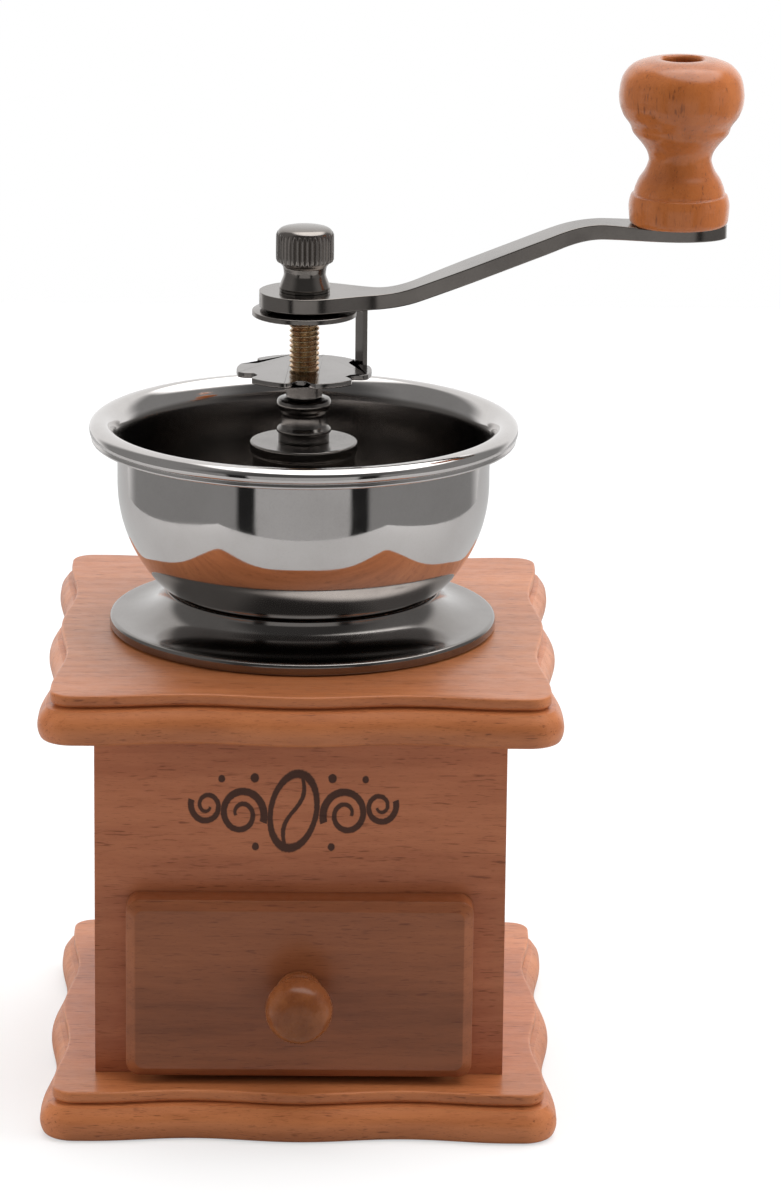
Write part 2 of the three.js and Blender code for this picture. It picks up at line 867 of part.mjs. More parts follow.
function bowl() {
  const rimBottom = bowlTop - rimHeight;
  const rim = rimShares.map(([out, up]) => [bowlRadius + out * rimWidth, rimBottom + up * rimHeight]);
  const inside = bowlCurve(bowlWall, 4).filter(([, height]) => height > bowlFloor);
  const shell = turnedRing([
    [bowlHoleRadius, bowlBottom],
    ...bowlCurve(0, 6),
    ...rim,
    [bowlRadius - bowlWall, rimBottom],
    ...inside.reverse(),
    [inside[inside.length - 1][0] - bowlWall, bowlFloor],
    [bowlHoleRadius, bowlFloor],
  ]);
  const top = bowlFloor + overrun;
  const hole = solid(rod(clampScrewRadius + holeGap, bowlBottom - overrun, top, holeSides));
  return cutAt(solid(shell), hole, clampPlaces());
}

function bearingBridge() {
  const shoulder = capBottom - bridgeShoulder;
  const footTop = footBottom + bridgeFootThick;
  const dome = turnedRing([
    [bridgeLegRadius - bridgeWall, footBottom],
    [bridgeFootRadius, footBottom],
    [bridgeFootRadius, footTop],
    [bridgeLegRadius + bridgeWall / 2, footTop],
    [bridgeLegRadius - bridgeWall / 4, footTop + bridgeWall],
    [capRadius - capChamfer, shoulder],
    [capRadius - capChamfer, capBottom],
    [capRadius, capBottom + capChamfer],
    [capRadius, capTop - capChamfer],
    [capRadius - capChamfer, capTop],
    [bushSpigotRadius + jointGap, capTop],
    [bushSpigotRadius + jointGap, capBottom],
    [capRadius - bridgeWall - capChamfer, capBottom],
    [capRadius - bridgeWall - capChamfer, shoulder],
    [bridgeLegRadius - bridgeWall, footTop],
  ], burrPoints);
  const half = windowWidth / 2;
  const sill = footTop + jointGap;
  const head = sill + windowHeight;
  const reach = bridgeFootRadius;
  const below = footBottom - overrun;
  const hole = solid(rod(clampScrewRadius + holeGap, below, footTop + overrun, holeSides));
  let bridge = cutAt(solid(dome), hole, clampPlaces());
  for (let i = 0; i < legCount; i++) {
    const tall = solid(block(-half, half, 0, reach, sill, head - half / 2));
    const arch = rod(half, 0, reach).rotateX(-Math.PI / 2).scale(1, 1, 1 / 2);
    const window = tall.add(solid(arch.translate(0, 0, head - half / 2)));
    bridge = bridge.subtract(window.rotate(0, 0, 180 + (i * 360) / legCount));
  }
  return bridge;
}

function guideBush() {
  const bore = shaftRadius + bushClearance;
  const outside = bushShares.map(([radius, up]) => [radius * bushRadius, bushBottom + up * bushHeight]);
  return turnedRing([
    [bore, capBottom],
    [bushSpigotRadius, capBottom],
    [bushSpigotRadius, bushBottom],
    ...outside,
    [bore, bushTop],
  ], smallSides);
}

function clampScrew() {
  const bottom = clampNutBottom - clampScrewEnd;
  return turnedSolid([
    [clampScrewRadius, bottom],
    [clampScrewRadius, clampHeadBottom],
    [clampHeadRadius, clampHeadBottom],
    [clampHeadRadius, clampHeadBottom + clampHeadHeight / 2],
    [clampHeadRadius / 2, clampHeadBottom + clampHeadHeight],
  ], holeSides);
}

function clampNut() {
  const nut = solid(hexagon(clampNutRadius, clampNutBottom, clampNutTop));
  const bottom = clampNutBottom - overrun;
  const bore = rod(clampScrewRadius + jointGap, bottom, clampNutTop + overrun, holeSides);
  return nut.subtract(solid(bore));
}

// A loop of burrPoints points, with grooves of the given depth and turned by an angle.
function burrLoop(radius, height, depth = 0, turn = 0, ridges = burrPoints / 3) {
  const loop = [];
  for (let i = 0; i < burrPoints; i++) {
    const angle = (i / burrPoints) * Math.PI * 2;
    const saw = ((i * ridges) / burrPoints) % 1;
    const cut = radius - depth * saw;
    loop.push([cut * Math.cos(angle + turn), cut * Math.sin(angle + turn), height]);
  }
  return loop;
}

function burrRing() {
  const throatLevel = burrRingTop - mouthDepth;
  const ring = skin([
    burrLoop(burrFlangeRadius, burrRingBottom),
    burrLoop(burrFlangeRadius, burrFlangeTop),
    burrLoop(burrRingRadius, burrFlangeTop),
    burrLoop(burrRingRadius, burrRingTop),
    burrLoop(mouthRadius, burrRingTop, burrGrooveDepth),
    burrLoop(throatRadius + burrGrooveDepth, throatLevel, burrGrooveDepth),
    burrLoop(grindRadius + burrGrooveDepth, burrRingBottom, burrGrooveDepth),
  ], true);
  const bottom = burrRingBottom - overrun;
  const hole = solid(rod(clampScrewRadius + holeGap, bottom, burrFlangeTop + overrun, holeSides));
  return cutAt(solid(ring), hole, clampPlaces());
}

function buildFixedMill() {
  addPart("flange_ring", flangeRing(), materials.mirrorMetal);
  addPart("bean_bowl", bowl(), materials.mirrorMetal);
  addPart("bearing_bridge", bearingBridge(), materials.mirrorMetal);
  addPart("guide_bush", guideBush(), materials.mirrorMetal);
  addPart("burr_ring", burrRing(), materials.castIron);
  clampPlaces().forEach(([x, y], i) => {
    addPart("clamp_screw_" + (i + 1), clampScrew(), materials.steel).position.set(x, y, 0);
    addPart("clamp_nut_" + (i + 1), clampNut(), materials.steel).position.set(x, y, 0);
  });
}

// Turning part of the mill

function centreShaft() {
  const tailBottom = burrNutBottom - jointGap * 2 - burrNutThick / 4;
  const threadBottom = discBottom - threadBelowDisc;
  const turns = Math.floor((plateBottom - seatGap - threadBottom) / threadPitch);
  const thread = [];
  for (let i = 0; i < turns; i++) {
    const level = threadBottom + i * threadPitch;
    thread.push([shaftRadius - threadDepth, level + threadPitch / 4]);
    thread.push([shaftRadius, level + (threadPitch * 3) / 4]);
  }
  const flatsBottom = plateBottom - seatGap;
  const squareTop = coneTop + seatGap;
  const round = turnedSolid([
    [shaftRadius, squareTop],
    [shaftRadius, threadBottom],
    ...thread,
    [shaftRadius, flatsBottom],
    [shaftTopRadius, flatsBottom],
    [shaftTopRadius, armTop + shaftTopLength],
  ], shaftSides);
  const tail = rod(shaftTailRadius, tailBottom, burrWasherTop + overrun, shaftSides);
  const half = shaftSquare / 2;
  const square = block(-half, half, -half, half, burrWasherTop, squareTop + overrun);
  const lower = solid(tail).add(solid(square));
  return lower.add(solid(round)).add(flatted(0, flatsBottom, armTop));
}

// A round bar with two flats, or a tool for its hole.
function flatted(gap, bottom, top) {
  const bar = solid(rod(shaftRadius + gap, bottom, top, shaftSides));
  const half = shaftTopRadius + shaftFlatLedge + gap;
  const reach = shaftRadius + gap + overrun;
  return bar.intersect(solid(block(-reach, reach, -half, half, bottom, top)));
}

function coneBurr() {
  const loops = [];
  loops.push(burrLoop(coneBaseRadius - coneRidgeDepth, coneBottom));
  for (let i = 0; i <= coneLevels; i++) {
    const share = i / coneLevels;
    const radius = coneBaseRadius + (coneTopRadius - coneBaseRadius) * share;
    const level = coneBottom + coneStepHeight + (coneHeight - coneStepHeight) * share;
    loops.push(burrLoop(radius, level, coneRidgeDepth, coneTwist * share, coneRidges));
  }
  const half = shaftSquare / 2 + jointGap;
  const hole = block(-half, half, -half, half, coneBottom - overrun, coneTop + overrun);
  return solid(skin(loops)).subtract(solid(hole));
}

function burrSpring() {
  const wire = springWire / 2;
  const bottom = coneTop + wire + jointGap;
  const top = springWasherBottom - wire - jointGap;
  const steps = springTurns * springStepsPerTurn;
  const loops = [];
  for (let i = 0; i <= steps; i++) {
    const angle = (i / springStepsPerTurn) * Math.PI * 2;
    const level = bottom + ((top - bottom) * i) / steps;
    const loop = [];
    for (let k = 0; k < springSides; k++) {
      const round = (k / springSides) * Math.PI * 2;
      const radius = springRadius + wire * Math.cos(round);
      const height = level + wire * Math.sin(round);
      loop.push([radius * Math.cos(angle), radius * Math.sin(angle), height]);
    }
    loops.push(loop.reverse());
  }
  return skin(loops);
}

function adjustingDisc() {
  const outline = [];
  const stepAngle = 360 / notchCount;
  const halfNotch = legWidth / 2 + notchSideGap;
  const side = THREE.MathUtils.radToDeg(Math.asin(halfNotch / discRadius));
  const mouth = THREE.MathUtils.radToDeg(Math.asin((halfNotch + notchMouthFlare) / discRadius));
  for (let i = 0; i < notchCount; i++) {
    const centre = notchAngle + i * stepAngle;
    outline.push(onCircle(discRadius - notchDepth, centre - side * notchFloorShare));
    outline.push(onCircle(discRadius - notchDepth, centre + side * notchFloorShare));
    outline.push(onCircle(discRadius - notchMouthDepth, centre + side));
    for (let k = 0; k <= discArcSteps; k++) {
      const along = (stepAngle - 2 * mouth) * (k / discArcSteps);
      outline.push(onCircle(discRadius, centre + mouth + along));
    }
    outline.push(onCircle(discRadius - notchMouthDepth, centre + stepAngle - side));
  }
  const bore = rod(shaftRadius + holeGap, discBottom - overrun, discTop + overrun);
  return solid(prism(outline, discBottom, discTop)).subtract(solid(bore));
}

// A shallow dish with a tab bent down from its rim.
function lockPlate() {
  const rimBottom = plateBottom - plateDish;
  const rimTop = plateTop - plateDish;
  const dish = solid(turnedSolid([
    [plateRadius * plateFlatShare, plateBottom],
    [plateRadius, rimBottom],
    [plateRadius, rimTop],
    [plateRadius * plateFlatShare, plateTop],
  ], middleSides));
  const legOuter = legInner + plateThick;
  const half = legWidth / 2;
  const tab = solid(block(plateRadius - plateThick, legOuter, -half, half, rimBottom, rimTop));
  const leg = solid(block(legInner, legOuter, -half, half, discBottom - legBelowDisc, rimTop));
  const plate = dish.add(tab.add(leg).rotate(0, 0, notchAngle));
  return plate.subtract(flatted(jointGap, plateBottom - overrun, plateTop + overrun));
}

function armHalfWidth(x) {
  if (x < 0) return Math.sqrt(Math.max(hubRadius ** 2 - x ** 2, 0));
  const share = x / crankRadius;
  const hub = (hubRadius - waistHalf) * (1 - smooth(share, 0, hubTaperShare));
  const rise = smooth(share, swellStartShare, swellFullShares[0]);
  const fall = 1 - smooth(share, swellFullShares[1], swellEndShare);
  const swell = (swellHalf - waistHalf) * Math.min(rise, fall);
  const paddle = (paddleHalf - waistHalf) * smooth(share, swellEndShare, 1);
  const past = Math.max(x - crankRadius, 0) / paddleEnd;
  return (waistHalf + hub + swell + paddle) * Math.sqrt(Math.max(1 - past ** 2, 0));
}

function armThick(x) {
  const flattened = smooth(x / crankRadius, swellEndShare, paddleStartShare);
  return crankThick - (crankThick - paddleThick) * flattened;
}

// Height of the arm over its hub and its slope, with both bends rounded.
function armCourse(x) {
  const firstBend = crankRadius * firstBendShare;
  const secondBend = crankRadius * secondBendShare;
  const slope = crankRise / (secondBend - firstBend);
  const through = (place) => THREE.MathUtils.clamp(place / bendLength + 1 / 2, 0, 1);
  const climb = (place) => {
    if (place > bendLength / 2) return place;
    return (bendLength * through(place) ** 2) / 2;
  };
  const height = slope * (climb(x - firstBend) - climb(x - secondBend));
  return [height, slope * (through(x - firstBend) - through(x - secondBend))];
}

function crankArm() {
  const stations = [];
  for (let i = 1; i <= hubSteps; i++) {
    stations.push(-hubRadius * Math.cos((i / (hubSteps + 1)) * (Math.PI / 2)));
  }
  for (let i = 0; i <= armStations; i++) stations.push((crankRadius * i) / armStations);
  for (let i = hubSteps; i >= 1; i--) {
    stations.push(crankRadius + paddleEnd * Math.cos((i / (hubSteps + 1)) * (Math.PI / 2)));
  }
  const loops = stations.map((x) => {
    const half = armHalfWidth(x);
    const [height, slope] = armCourse(x);
    const tilt = Math.atan(slope);
    const edge = armThick(x) / 2;
    const put = (y, up) => {
      return [x - up * Math.sin(tilt), y, armBottom + edge + height + up * Math.cos(tilt)];
    };
    return [put(-half, -edge), put(half, -edge), put(half, edge), put(-half, edge)];
  });
  const arm = solid(skin(loops));
  const pinHole = rod(pinRadius + jointGap, armBottom - overrun, paddleTop + overrun);
  const keyed = arm.subtract(flatted(jointGap, armBottom - overrun, armTop + overrun));
  return keyed.subtract(solid(pinHole).translate(crankRadius, 0, 0));
}

function thumbNut() {
  const core = nutShares.map(([radius, up]) => [radius * nutRadius, nutBottom + up * nutHeight]);
  const outline = [];
  for (let i = 0; i < knurlCount; i++) {
    const step = 360 / knurlCount;
    for (const share of knurlRidgeShares) outline.push(onCircle(nutRadius, (i + share) * step));
    outline.push(onCircle(nutRadius - knurlDepth, (i + knurlGrooveShare) * step));
  }
  const from = nutBottom + knurlFromShare * nutHeight;
  const to = nutBottom + knurlToShare * nutHeight;
  const body = solid(turnedSolid(core, smallSides)).add(solid(prism(outline, from, to)));
  const top = armTop + shaftTopLength + seatGap;
  const bore = rod(shaftTopRadius + holeGap, nutBottom - overrun, top, shaftSides);
  return body.subtract(solid(bore));
}

function crankKnob() {
  const outside = knobShares.map(([radius, up]) => [radius * knobRadius, knobBottom + up * knobHeight]);
  const floor = knobBottom + knobHeight - knobCounterboreDepth;
  return turnedRing([
    [pinRadius + pinGap, knobBottom],
    ...outside,
    [knobCounterbore, knobBottom + knobLipShare * knobHeight],
    [knobCounterbore, floor],
    [pinRadius + pinGap, floor],
  ], middleSides);
}

function knobPin() {
  const head = knobBottom + knobHeight - knobCounterboreDepth + seatGap;
  return turnedSolid([
    [pinRadius, paddleTop - paddleThick],
    [pinRadius, head],
    [pinHeadRadius, head],
    [pinHeadRadius, head + pinHeadHeight / 2],
    [pinHeadRadius / 2, head + pinHeadHeight],
  ], shaftSides);
}

function buildTurningMill() {
  addPart("centre_shaft", centreShaft(), materials.shaftMetal);
  addPart("cone_burr", coneBurr(), materials.castIron);
  addPart("burr_spring", burrSpring(), materials.steel);
  const washer = tube(shaftRadius + holeGap, springWasherRadius, springWasherBottom, springWasherTop);
  addPart("spring_washer", washer, materials.steel);
  const tailBore = shaftTailRadius + jointGap;
  const burrWasher = tube(tailBore, burrWasherRadius, burrWasherBottom, burrWasherTop, shaftSides);
  addPart("burr_washer", burrWasher, materials.steel);
  const tailTool = rod(tailBore, burrNutBottom - overrun, burrNutTop + overrun, shaftSides);
  const burrNut = solid(hexagon(burrNutRadius, burrNutBottom, burrNutTop)).subtract(solid(tailTool));
  addPart("burr_nut", burrNut, materials.steel);
  addPart("adjusting_disc", adjustingDisc(), materials.mirrorMetal);
  addPart("lock_plate", lockPlate(), materials.armMetal);
  addPart("crank_arm", crankArm(), materials.armMetal);
  const washerTop = nutWasherBottom + nutWasherThick;
  const nutWasher = tube(shaftTopRadius + holeGap, nutWasherRadius, nutWasherBottom, washerTop, shaftSides);
  addPart("nut_washer", nutWasher, materials.armMetal);
  addPart("thumb_nut", thumbNut(), materials.armMetal);
  const knobGroup = new THREE.Group();
  knobGroup.position.set(crankRadius, 0, 0);
  addPart("crank_knob", crankKnob(), materials.turnedWood, knobGroup);
  addPart("knob_pin", knobPin(), materials.steel, knobGroup);
  mill.add(knobGroup);
}

buildCase();
buildDrawer();
buildFixedMill();
buildTurningMill();

export default mill;
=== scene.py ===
import math

import bpy
from mathutils import Matrix, Vector


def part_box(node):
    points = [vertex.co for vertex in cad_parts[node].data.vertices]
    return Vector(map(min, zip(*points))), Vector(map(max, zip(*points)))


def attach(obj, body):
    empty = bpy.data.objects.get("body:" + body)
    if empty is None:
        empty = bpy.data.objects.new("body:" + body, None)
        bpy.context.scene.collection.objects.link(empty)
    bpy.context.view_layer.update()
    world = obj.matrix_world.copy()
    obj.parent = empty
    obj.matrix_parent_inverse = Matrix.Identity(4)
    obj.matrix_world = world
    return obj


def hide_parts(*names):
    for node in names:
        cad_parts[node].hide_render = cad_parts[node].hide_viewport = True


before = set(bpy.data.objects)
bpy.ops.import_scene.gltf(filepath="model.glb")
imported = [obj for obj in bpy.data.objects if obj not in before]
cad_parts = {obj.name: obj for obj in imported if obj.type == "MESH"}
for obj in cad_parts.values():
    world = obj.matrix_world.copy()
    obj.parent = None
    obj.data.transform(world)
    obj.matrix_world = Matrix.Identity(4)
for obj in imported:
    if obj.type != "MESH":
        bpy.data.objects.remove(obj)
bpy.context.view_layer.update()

mm = 0.001

# The photograph's view: a long lens a little over a metre in front of the mill,
# looking down on it by some fifteen degrees.
view_point = Vector((4.8, -1239.8, 456.1)) * mm
view_pan = -0.74
view_tilt = 15.47
view_roll = 0.63
view_lens = 162.75
view_sensor = 36

eye = bpy.data.cameras.new("view")
eye.sensor_fit = "VERTICAL"
eye.sensor_height = view_sensor
eye.lens = view_lens
camera = bpy.data.objects.new("view", eye)
pan = Matrix.Rotation(math.radians(view_pan), 4, "Z")
tilt = Matrix.Rotation(math.radians(90 - view_tilt), 4, "X")
roll = Matrix.Rotation(math.radians(view_roll), 4, "Z")
camera.matrix_world = Matrix.Translation(view_point) @ pan @ tilt @ roll
bpy.context.scene.collection.objects.link(camera)
bpy.context.scene.camera = camera

# Base board and top board, cut from solid steamed beech and varnished. One cutter runs round
# their wavy edge and leaves a fat bead under a quirk and a thin upper step.


class Wire:
    """A value that changes over a surface. Signs between wires and numbers add Math nodes."""

    def __init__(self, sheet, socket):
        self.sheet = sheet
        self.socket = socket

    def maths(self, operation, *values):
        return self.sheet.add("ShaderNodeMath", {"operation": operation}, dict(enumerate(values)))

    def __add__(self, other):
        return self.maths("ADD", self, other)

    def __sub__(self, other):
        return self.maths("SUBTRACT", self, other)

    def __rsub__(self, other):
        return self.maths("SUBTRACT", other, self)

    def __mul__(self, other):
        return self.maths("MULTIPLY", self, other)

    def __truediv__(self, other):
        return self.maths("DIVIDE", self, other)

    def __pow__(self, other):
        return self.maths("POWER", self, other)

    def __abs__(self):
        return self.maths("ABSOLUTE", self)

    __radd__ = __add__
    __rmul__ = __mul__

    def least(self, other):
        return self.maths("MINIMUM", self, other)

    def most(self, other):
        return self.maths("MAXIMUM", self, other)

    def rise(self, start, end):
        """0 up to start, 1 from end on, and smooth between them. End may be the lower one."""
        settings = {"interpolation_type": "SMOOTHSTEP"}
        low, high, first, last = (start, end, 0, 1) if start < end else (end, start, 1, 0)
        return self.sheet.add("ShaderNodeMapRange", settings, {0: self, 1: low, 2: high, 3: first, 4: last})


class Sheet:
    """The nodes of a material or of the world."""

    def __init__(self, owner):
        self.owner = owner
        owner.use_nodes = True
        self.tree = owner.node_tree
        self.tree.nodes.clear()

    def add(self, kind, settings, sockets, output=0):
        node = self.tree.nodes.new(kind)
        for key, value in settings.items():
            setattr(node, key, value)
        for key, value in sockets.items():
            if isinstance(value, Wire):
                self.tree.links.new(value.socket, node.inputs[key])
            else:
                node.inputs[key].default_value = value
        return Wire(self, node.outputs[output]) if node.outputs else None

    def place(self, stretch=(1, 1, 1), shift=(0, 0, 0)):
        """The place on the piece in millimetres, stretched and shifted."""
        spot = self.add("ShaderNodeTexCoord", {}, {}, "Object")
        size = Vector(stretch) / mm
        settings = {"operation": "MULTIPLY_ADD"}
        return self.add("ShaderNodeVectorMath", settings, {0: spot, 1: size, 2: shift})

    def axes(self, vector):
        return [self.add("ShaderNodeSeparateXYZ", {}, {0: vector}, axis) for axis in "XYZ"]

    def noise(self, place, scale, detail=2.0, rough=0.5):
        sockets = {"Vector": place, "Scale": scale, "Detail": detail, "Roughness": rough}
        return self.add("ShaderNodeTexNoise", {}, sockets, "Fac")

    def blend(self, first, second, amount):
        settings = {"data_type": "RGBA", "blend_type": "MIX"}
        return self.add("ShaderNodeMix", settings, {0: amount, 6: first, 7: second}, 2)

    def surface(self, sockets, height=None, depth=0.0):
        """Puts one surface together. Height, from 0 to 1, stands for that depth of relief."""
        if height is not None:
            bump = {"Height": height, "Distance": depth, "Strength": 1.0}
            sockets = {**sockets, "Normal": self.add("ShaderNodeBump", {}, bump)}
        skin = self.add("ShaderNodeBsdfPrincipled", {}, sockets)
        self.add("ShaderNodeOutputMaterial", {}, {"Surface": skin})
        return self.owner


def paint(red, green, blue):
    return (red, green, blue, 1)


grain_lines = {"X": (0.1, 1, 1), "Y": (1, 0.1, 1), "Z": (1, 1, 0.1)}
beech_pale = paint(0.59, 0.21, 0.078)
beech_deep = paint(0.39, 0.123, 0.042)
beech_fleck = paint(0.125, 0.031, 0.0125)
varnish_gloss = 0.4


def beech_grain(sheet, along, shift, pale=beech_pale, deep=beech_deep, fleck=beech_fleck):
    """Colour and relief of beech whose grain runs along one axis."""
    place = sheet.place(grain_lines[along], shift)
    cloud = sheet.noise(place, 0.045, 3.0)
    bands = sheet.noise(place, 0.3, 4.0, 0.6)
    lines = sheet.noise(place, 1.5, 3.0, 0.6)
    tone = cloud.rise(0.35, 0.68) * 0.5 + bands.rise(0.36, 0.66) * 0.34 + lines.rise(0.3, 0.7) * 0.16
    color = sheet.blend(pale, deep, tone)
    dashes = sheet.noise(place, 2.3, 1.0).rise(0.6, 0.74)
    pores = sheet.noise(place, 5.5, 1.0).rise(0.62, 0.72)
    marks = (dashes * 0.62 * bands.rise(0.35, 0.6) + pores * 0.3).least(1.0)
    color = sheet.blend(color, fleck, marks)
    return color, 1 - marks * 0.6 + lines * 0.3, marks


def varnished_beech(name, along, shift, pale=beech_pale, deep=beech_deep):
    sheet = Sheet(bpy.data.materials.new(name))
    color, relief, marks = beech_grain(sheet, along, shift, pale, deep)
    rough = sheet.noise(sheet.place(), 0.25, 3.0).rise(0.2, 0.8) * 0.14 + marks * 0.1 + varnish_gloss
    sockets = {"Base Color": color, "Roughness": rough, "Specular IOR Level": 0.2}
    sockets |= {"Coat Weight": 0.5, "Coat Roughness": 0.26}
    return sheet.surface(sockets, relief, 0.02 * mm)


def smooth_line(points, steps=8):
    """A smooth line through points of [across, up]."""
    line = []
    ends = [points[0], *points, points[-1]]
    for before, first, second, after in zip(ends, ends[1:], ends[2:], ends[3:]):
        for i in range(steps):
            t = i / steps
            spot = []
            for a, b, c, d in zip(before, first, second, after):
                bend = (2 * a - 5 * b + 4 * c - d) * t**2 + (3 * b - a - 3 * c + d) * t**3
                spot.append(0.5 * (2 * b + (c - a) * t + bend))
            line.append(spot)
    return [*line, list(points[-1])]


def rounded(points, radius, closed=False, steps=5):
    """The line with its corners rounded, up to that radius."""
    line = []
    for i, corner in enumerate(points):
        if not closed and i in (0, len(points) - 1):
            line.append(list(corner))
            continue
        corner = Vector(corner)
        back = Vector(points[i - 1]) - corner
        ahead = Vector(points[(i + 1) % len(points)]) - corner
        start = corner + back.normalized() * min(radius, back.length / 2.1)
        end = corner + ahead.normalized() * min(radius, ahead.length / 2.1)
        for k in range(steps + 1):
            t = k / steps
            line.append(list(start * (1 - t) ** 2 + corner * 2 * t * (1 - t) + end * t**2))
    return line


def loft(loops, closed=False):
    """Points and faces between loops of equally many points, capped unless it closes on itself."""
    count = len(loops[0])
    points = [tuple(point) for loop in loops for point in loop]
    faces = []
    for i in range(len(loops) if closed else len(loops) - 1):
        low = i * count
        high = (i + 1) % len(loops) * count
        for k in range(count):
            ahead = (k + 1) % count
            faces.append((low + k, low + ahead, high + ahead, high + k))
    if not closed:
        faces.append(tuple(reversed(range(count))))
        faces.append(tuple(range(len(points) - count, len(points))))
    return points, faces


def make(name, shape, material, body, nodes=(), crease=35):
    """A piece with its material, riding on its body in place of those CAD nodes."""
    mesh = bpy.data.meshes.new(name)
    mesh.from_pydata(shape[0], [], shape[1])
    mesh.validate()
    mesh.shade_smooth()
    mesh.set_sharp_from_angle(angle=math.radians(crease))
    mesh.materials.append(material)
    piece = bpy.data.objects.new(name, mesh)
    bpy.context.scene.collection.objects.link(piece)
    piece.modifiers.new("flat faces stay flat", "WEIGHTED_NORMAL").keep_sharp = True
    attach(piece, body)
    if nodes:
        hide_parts(*nodes)
    return piece


board_corner = 8 * mm
scallop_depth = 2.3 * mm
valley_share = 0.47
quirk_inset = 4 * mm
step_inset = 2.9 * mm
step_height = 3.1 * mm
step_round = 0.7 * mm
bead_shares = [(0.6, 0), (0.2, 0.07), (0, 0.36), (0.1, 0.66), (0.5, 0.94)]
board_hole = 24.4 * mm
side_points = 90
corner_points = 12


def valley(share):
    along = abs(share) / valley_share
    return 0 if along > 2 else (1 - math.cos(math.pi * along)) / 2


def board_loop(half_width, half_depth, inset, height):
    corner = board_corner - inset
    loop = []
    for side in range(4):
        turn = Matrix.Rotation(math.radians(90 * side), 3, "Z")
        across, length = (half_depth, half_width) if side % 2 else (half_width, half_depth)
        out = across - inset
        straight = length - inset - corner
        for i in range(side_points):
            share = 2 * i / side_points - 1
            loop.append(turn @ Vector((out - scallop_depth * valley(share), share * straight, height)))
        for i in range(corner_points):
            angle = math.radians(90 * i / corner_points)
            x = out - corner * (1 - math.cos(angle))
            loop.append(turn @ Vector((x, straight + corner * math.sin(angle), height)))
    return loop


def board(node, hole=None):
    low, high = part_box(node)
    bead = high[2] - low[2] - step_height
    profile = smooth_line([(inset * quirk_inset, low[2] + up * bead) for inset, up in bead_shares])
    profile += rounded([
        (quirk_inset, low[2] + bead),
        (step_inset, low[2] + bead + step_round),
        (step_inset, high[2]),
        (quirk_inset + step_round, high[2]),
    ], step_round)
    loops = [board_loop(high[0], high[1], inset, height) for inset, height in profile]
    if hole:
        for height in (high[2], low[2]):
            edge = [Vector((point.x, point.y)).normalized() * hole for point in loops[0]]
            loops.append([Vector((spot.x, spot.y, height)) for spot in edge])
    return loft(loops, closed=bool(hole))


base_beech = varnished_beech("base_beech", "X", (0, 0, 0))
top_beech = varnished_beech("top_beech", "X", (310, 90, 40))
make("moulded_base", board("base_board"), base_beech, "case", ["base_board"])
make("moulded_top", board("top_board", board_hole), top_beech, "case", ["top_board"])

# The four panels of the case, of the same beech with the grain lying level. The front one is
# burned with an ornament of coffee beans between scrolls. Screws and dowels hold the boards on.

arris_round = 0.5 * mm
ornament_middle = (-1.6, 75.7)
ornament_stretch = (1.04, 1.2)
scorch = paint(0.045, 0.022, 0.017)
front_pale = paint(0.53, 0.188, 0.085)
front_deep = paint(0.36, 0.11, 0.046)


def burned_ornament(sheet):
    """How deep the front is burned, from 0 to 1. Its left half mirrors the right one."""
    x, y, z = sheet.axes(sheet.place())
    u = (x - ornament_middle[0]) / ornament_stretch[0]
    v = (z - ornament_middle[1]) / ornament_stretch[1]
    jitter = sheet.noise(sheet.place(), 1.6, 3.0) * 0.28 - 0.14
    side = abs(u)

    def reach(across, up, middle):
        return ((across - middle[0]) ** 2 + (up - middle[1]) ** 2) ** 0.5

    def line(distance, half):
        return (distance + jitter - half).rise(0.14, -0.14)

    def bean(across, up, middle, half_width, half_height, lean, wall, slit):
        turn = math.radians(lean)
        a = (across - middle[0]) * math.cos(turn) + (up - middle[1]) * math.sin(turn)
        b = (up - middle[1]) * math.cos(turn) - (across - middle[0]) * math.sin(turn)
        far = ((a / half_width) ** 2 + (b / half_height) ** 2) ** 0.5
        edge = abs(far - 1) * half_width
        bow = (b * (math.pi / half_height)).maths("SINE", b * (math.pi / half_height))
        crease = abs(a - bow * slit)
        inside = far.rise(0.97, 0.9)
        return line(edge, wall).most(line(crease, wall * 0.8) * inside)

    def volute(middle, radius, pitch, start, turns, way, thick):
        across = side - middle[0]
        up = v - middle[1]
        far = (across**2 + up**2) ** 0.5
        angle = up.maths("ARCTAN2", up, across) * (way / (2 * math.pi)) - way * start / 360
        part = angle.maths("FRACT", angle + 2)
        strokes = None
        for whole in range(math.ceil(turns)):
            along = part + whole
            width = thick * (1 - along * (0.55 / turns))
            stroke = (abs(far - (radius - along * pitch)) + jitter - width).rise(0.14, -0.14)
            stroke = stroke * (along - turns).rise(0.02, -0.02)
            strokes = stroke if strokes is None else strokes.most(stroke)
        return strokes

    marks = bean(u, v, (0, 0), 5.0, 7.6, -14, 0.6, 1.3)
    marks = marks.most(volute((11.6, -0.6), 5.2, 2.5, 200, 1.6, -1, 0.85))
    marks = marks.most(volute((19.2, 1.0), 3.6, 1.9, 20, 1.5, -1, 0.7))
    for spot, size in (((8.6, 6.6), 0.95), ((15.9, 6.4), 0.75), ((8.4, -7.2), 0.8)):
        marks = marks.most(line(reach(side, v, spot), size))
    return marks * (y - front_face / mm).rise(0.6, 0.3)


def burned_beech(name, along, shift, pale, deep):
    sheet = Sheet(bpy.data.materials.new(name))
    color, relief, marks = beech_grain(sheet, along, shift, pale, deep)
    burn = burned_ornament(sheet)
    color = sheet.blend(color, scorch, burn * 0.93)
    rough = marks * 0.1 + varnish_gloss + 0.06 + burn * 0.2
    sockets = {"Base Color": color, "Roughness": rough, "Specular IOR Level": 0.2}
    sockets |= {"Coat Weight": 0.35 - burn * 0.2, "Coat Roughness": 0.22}
    return sheet.surface(sockets, relief * 0.2 - burn, 0.12 * mm)


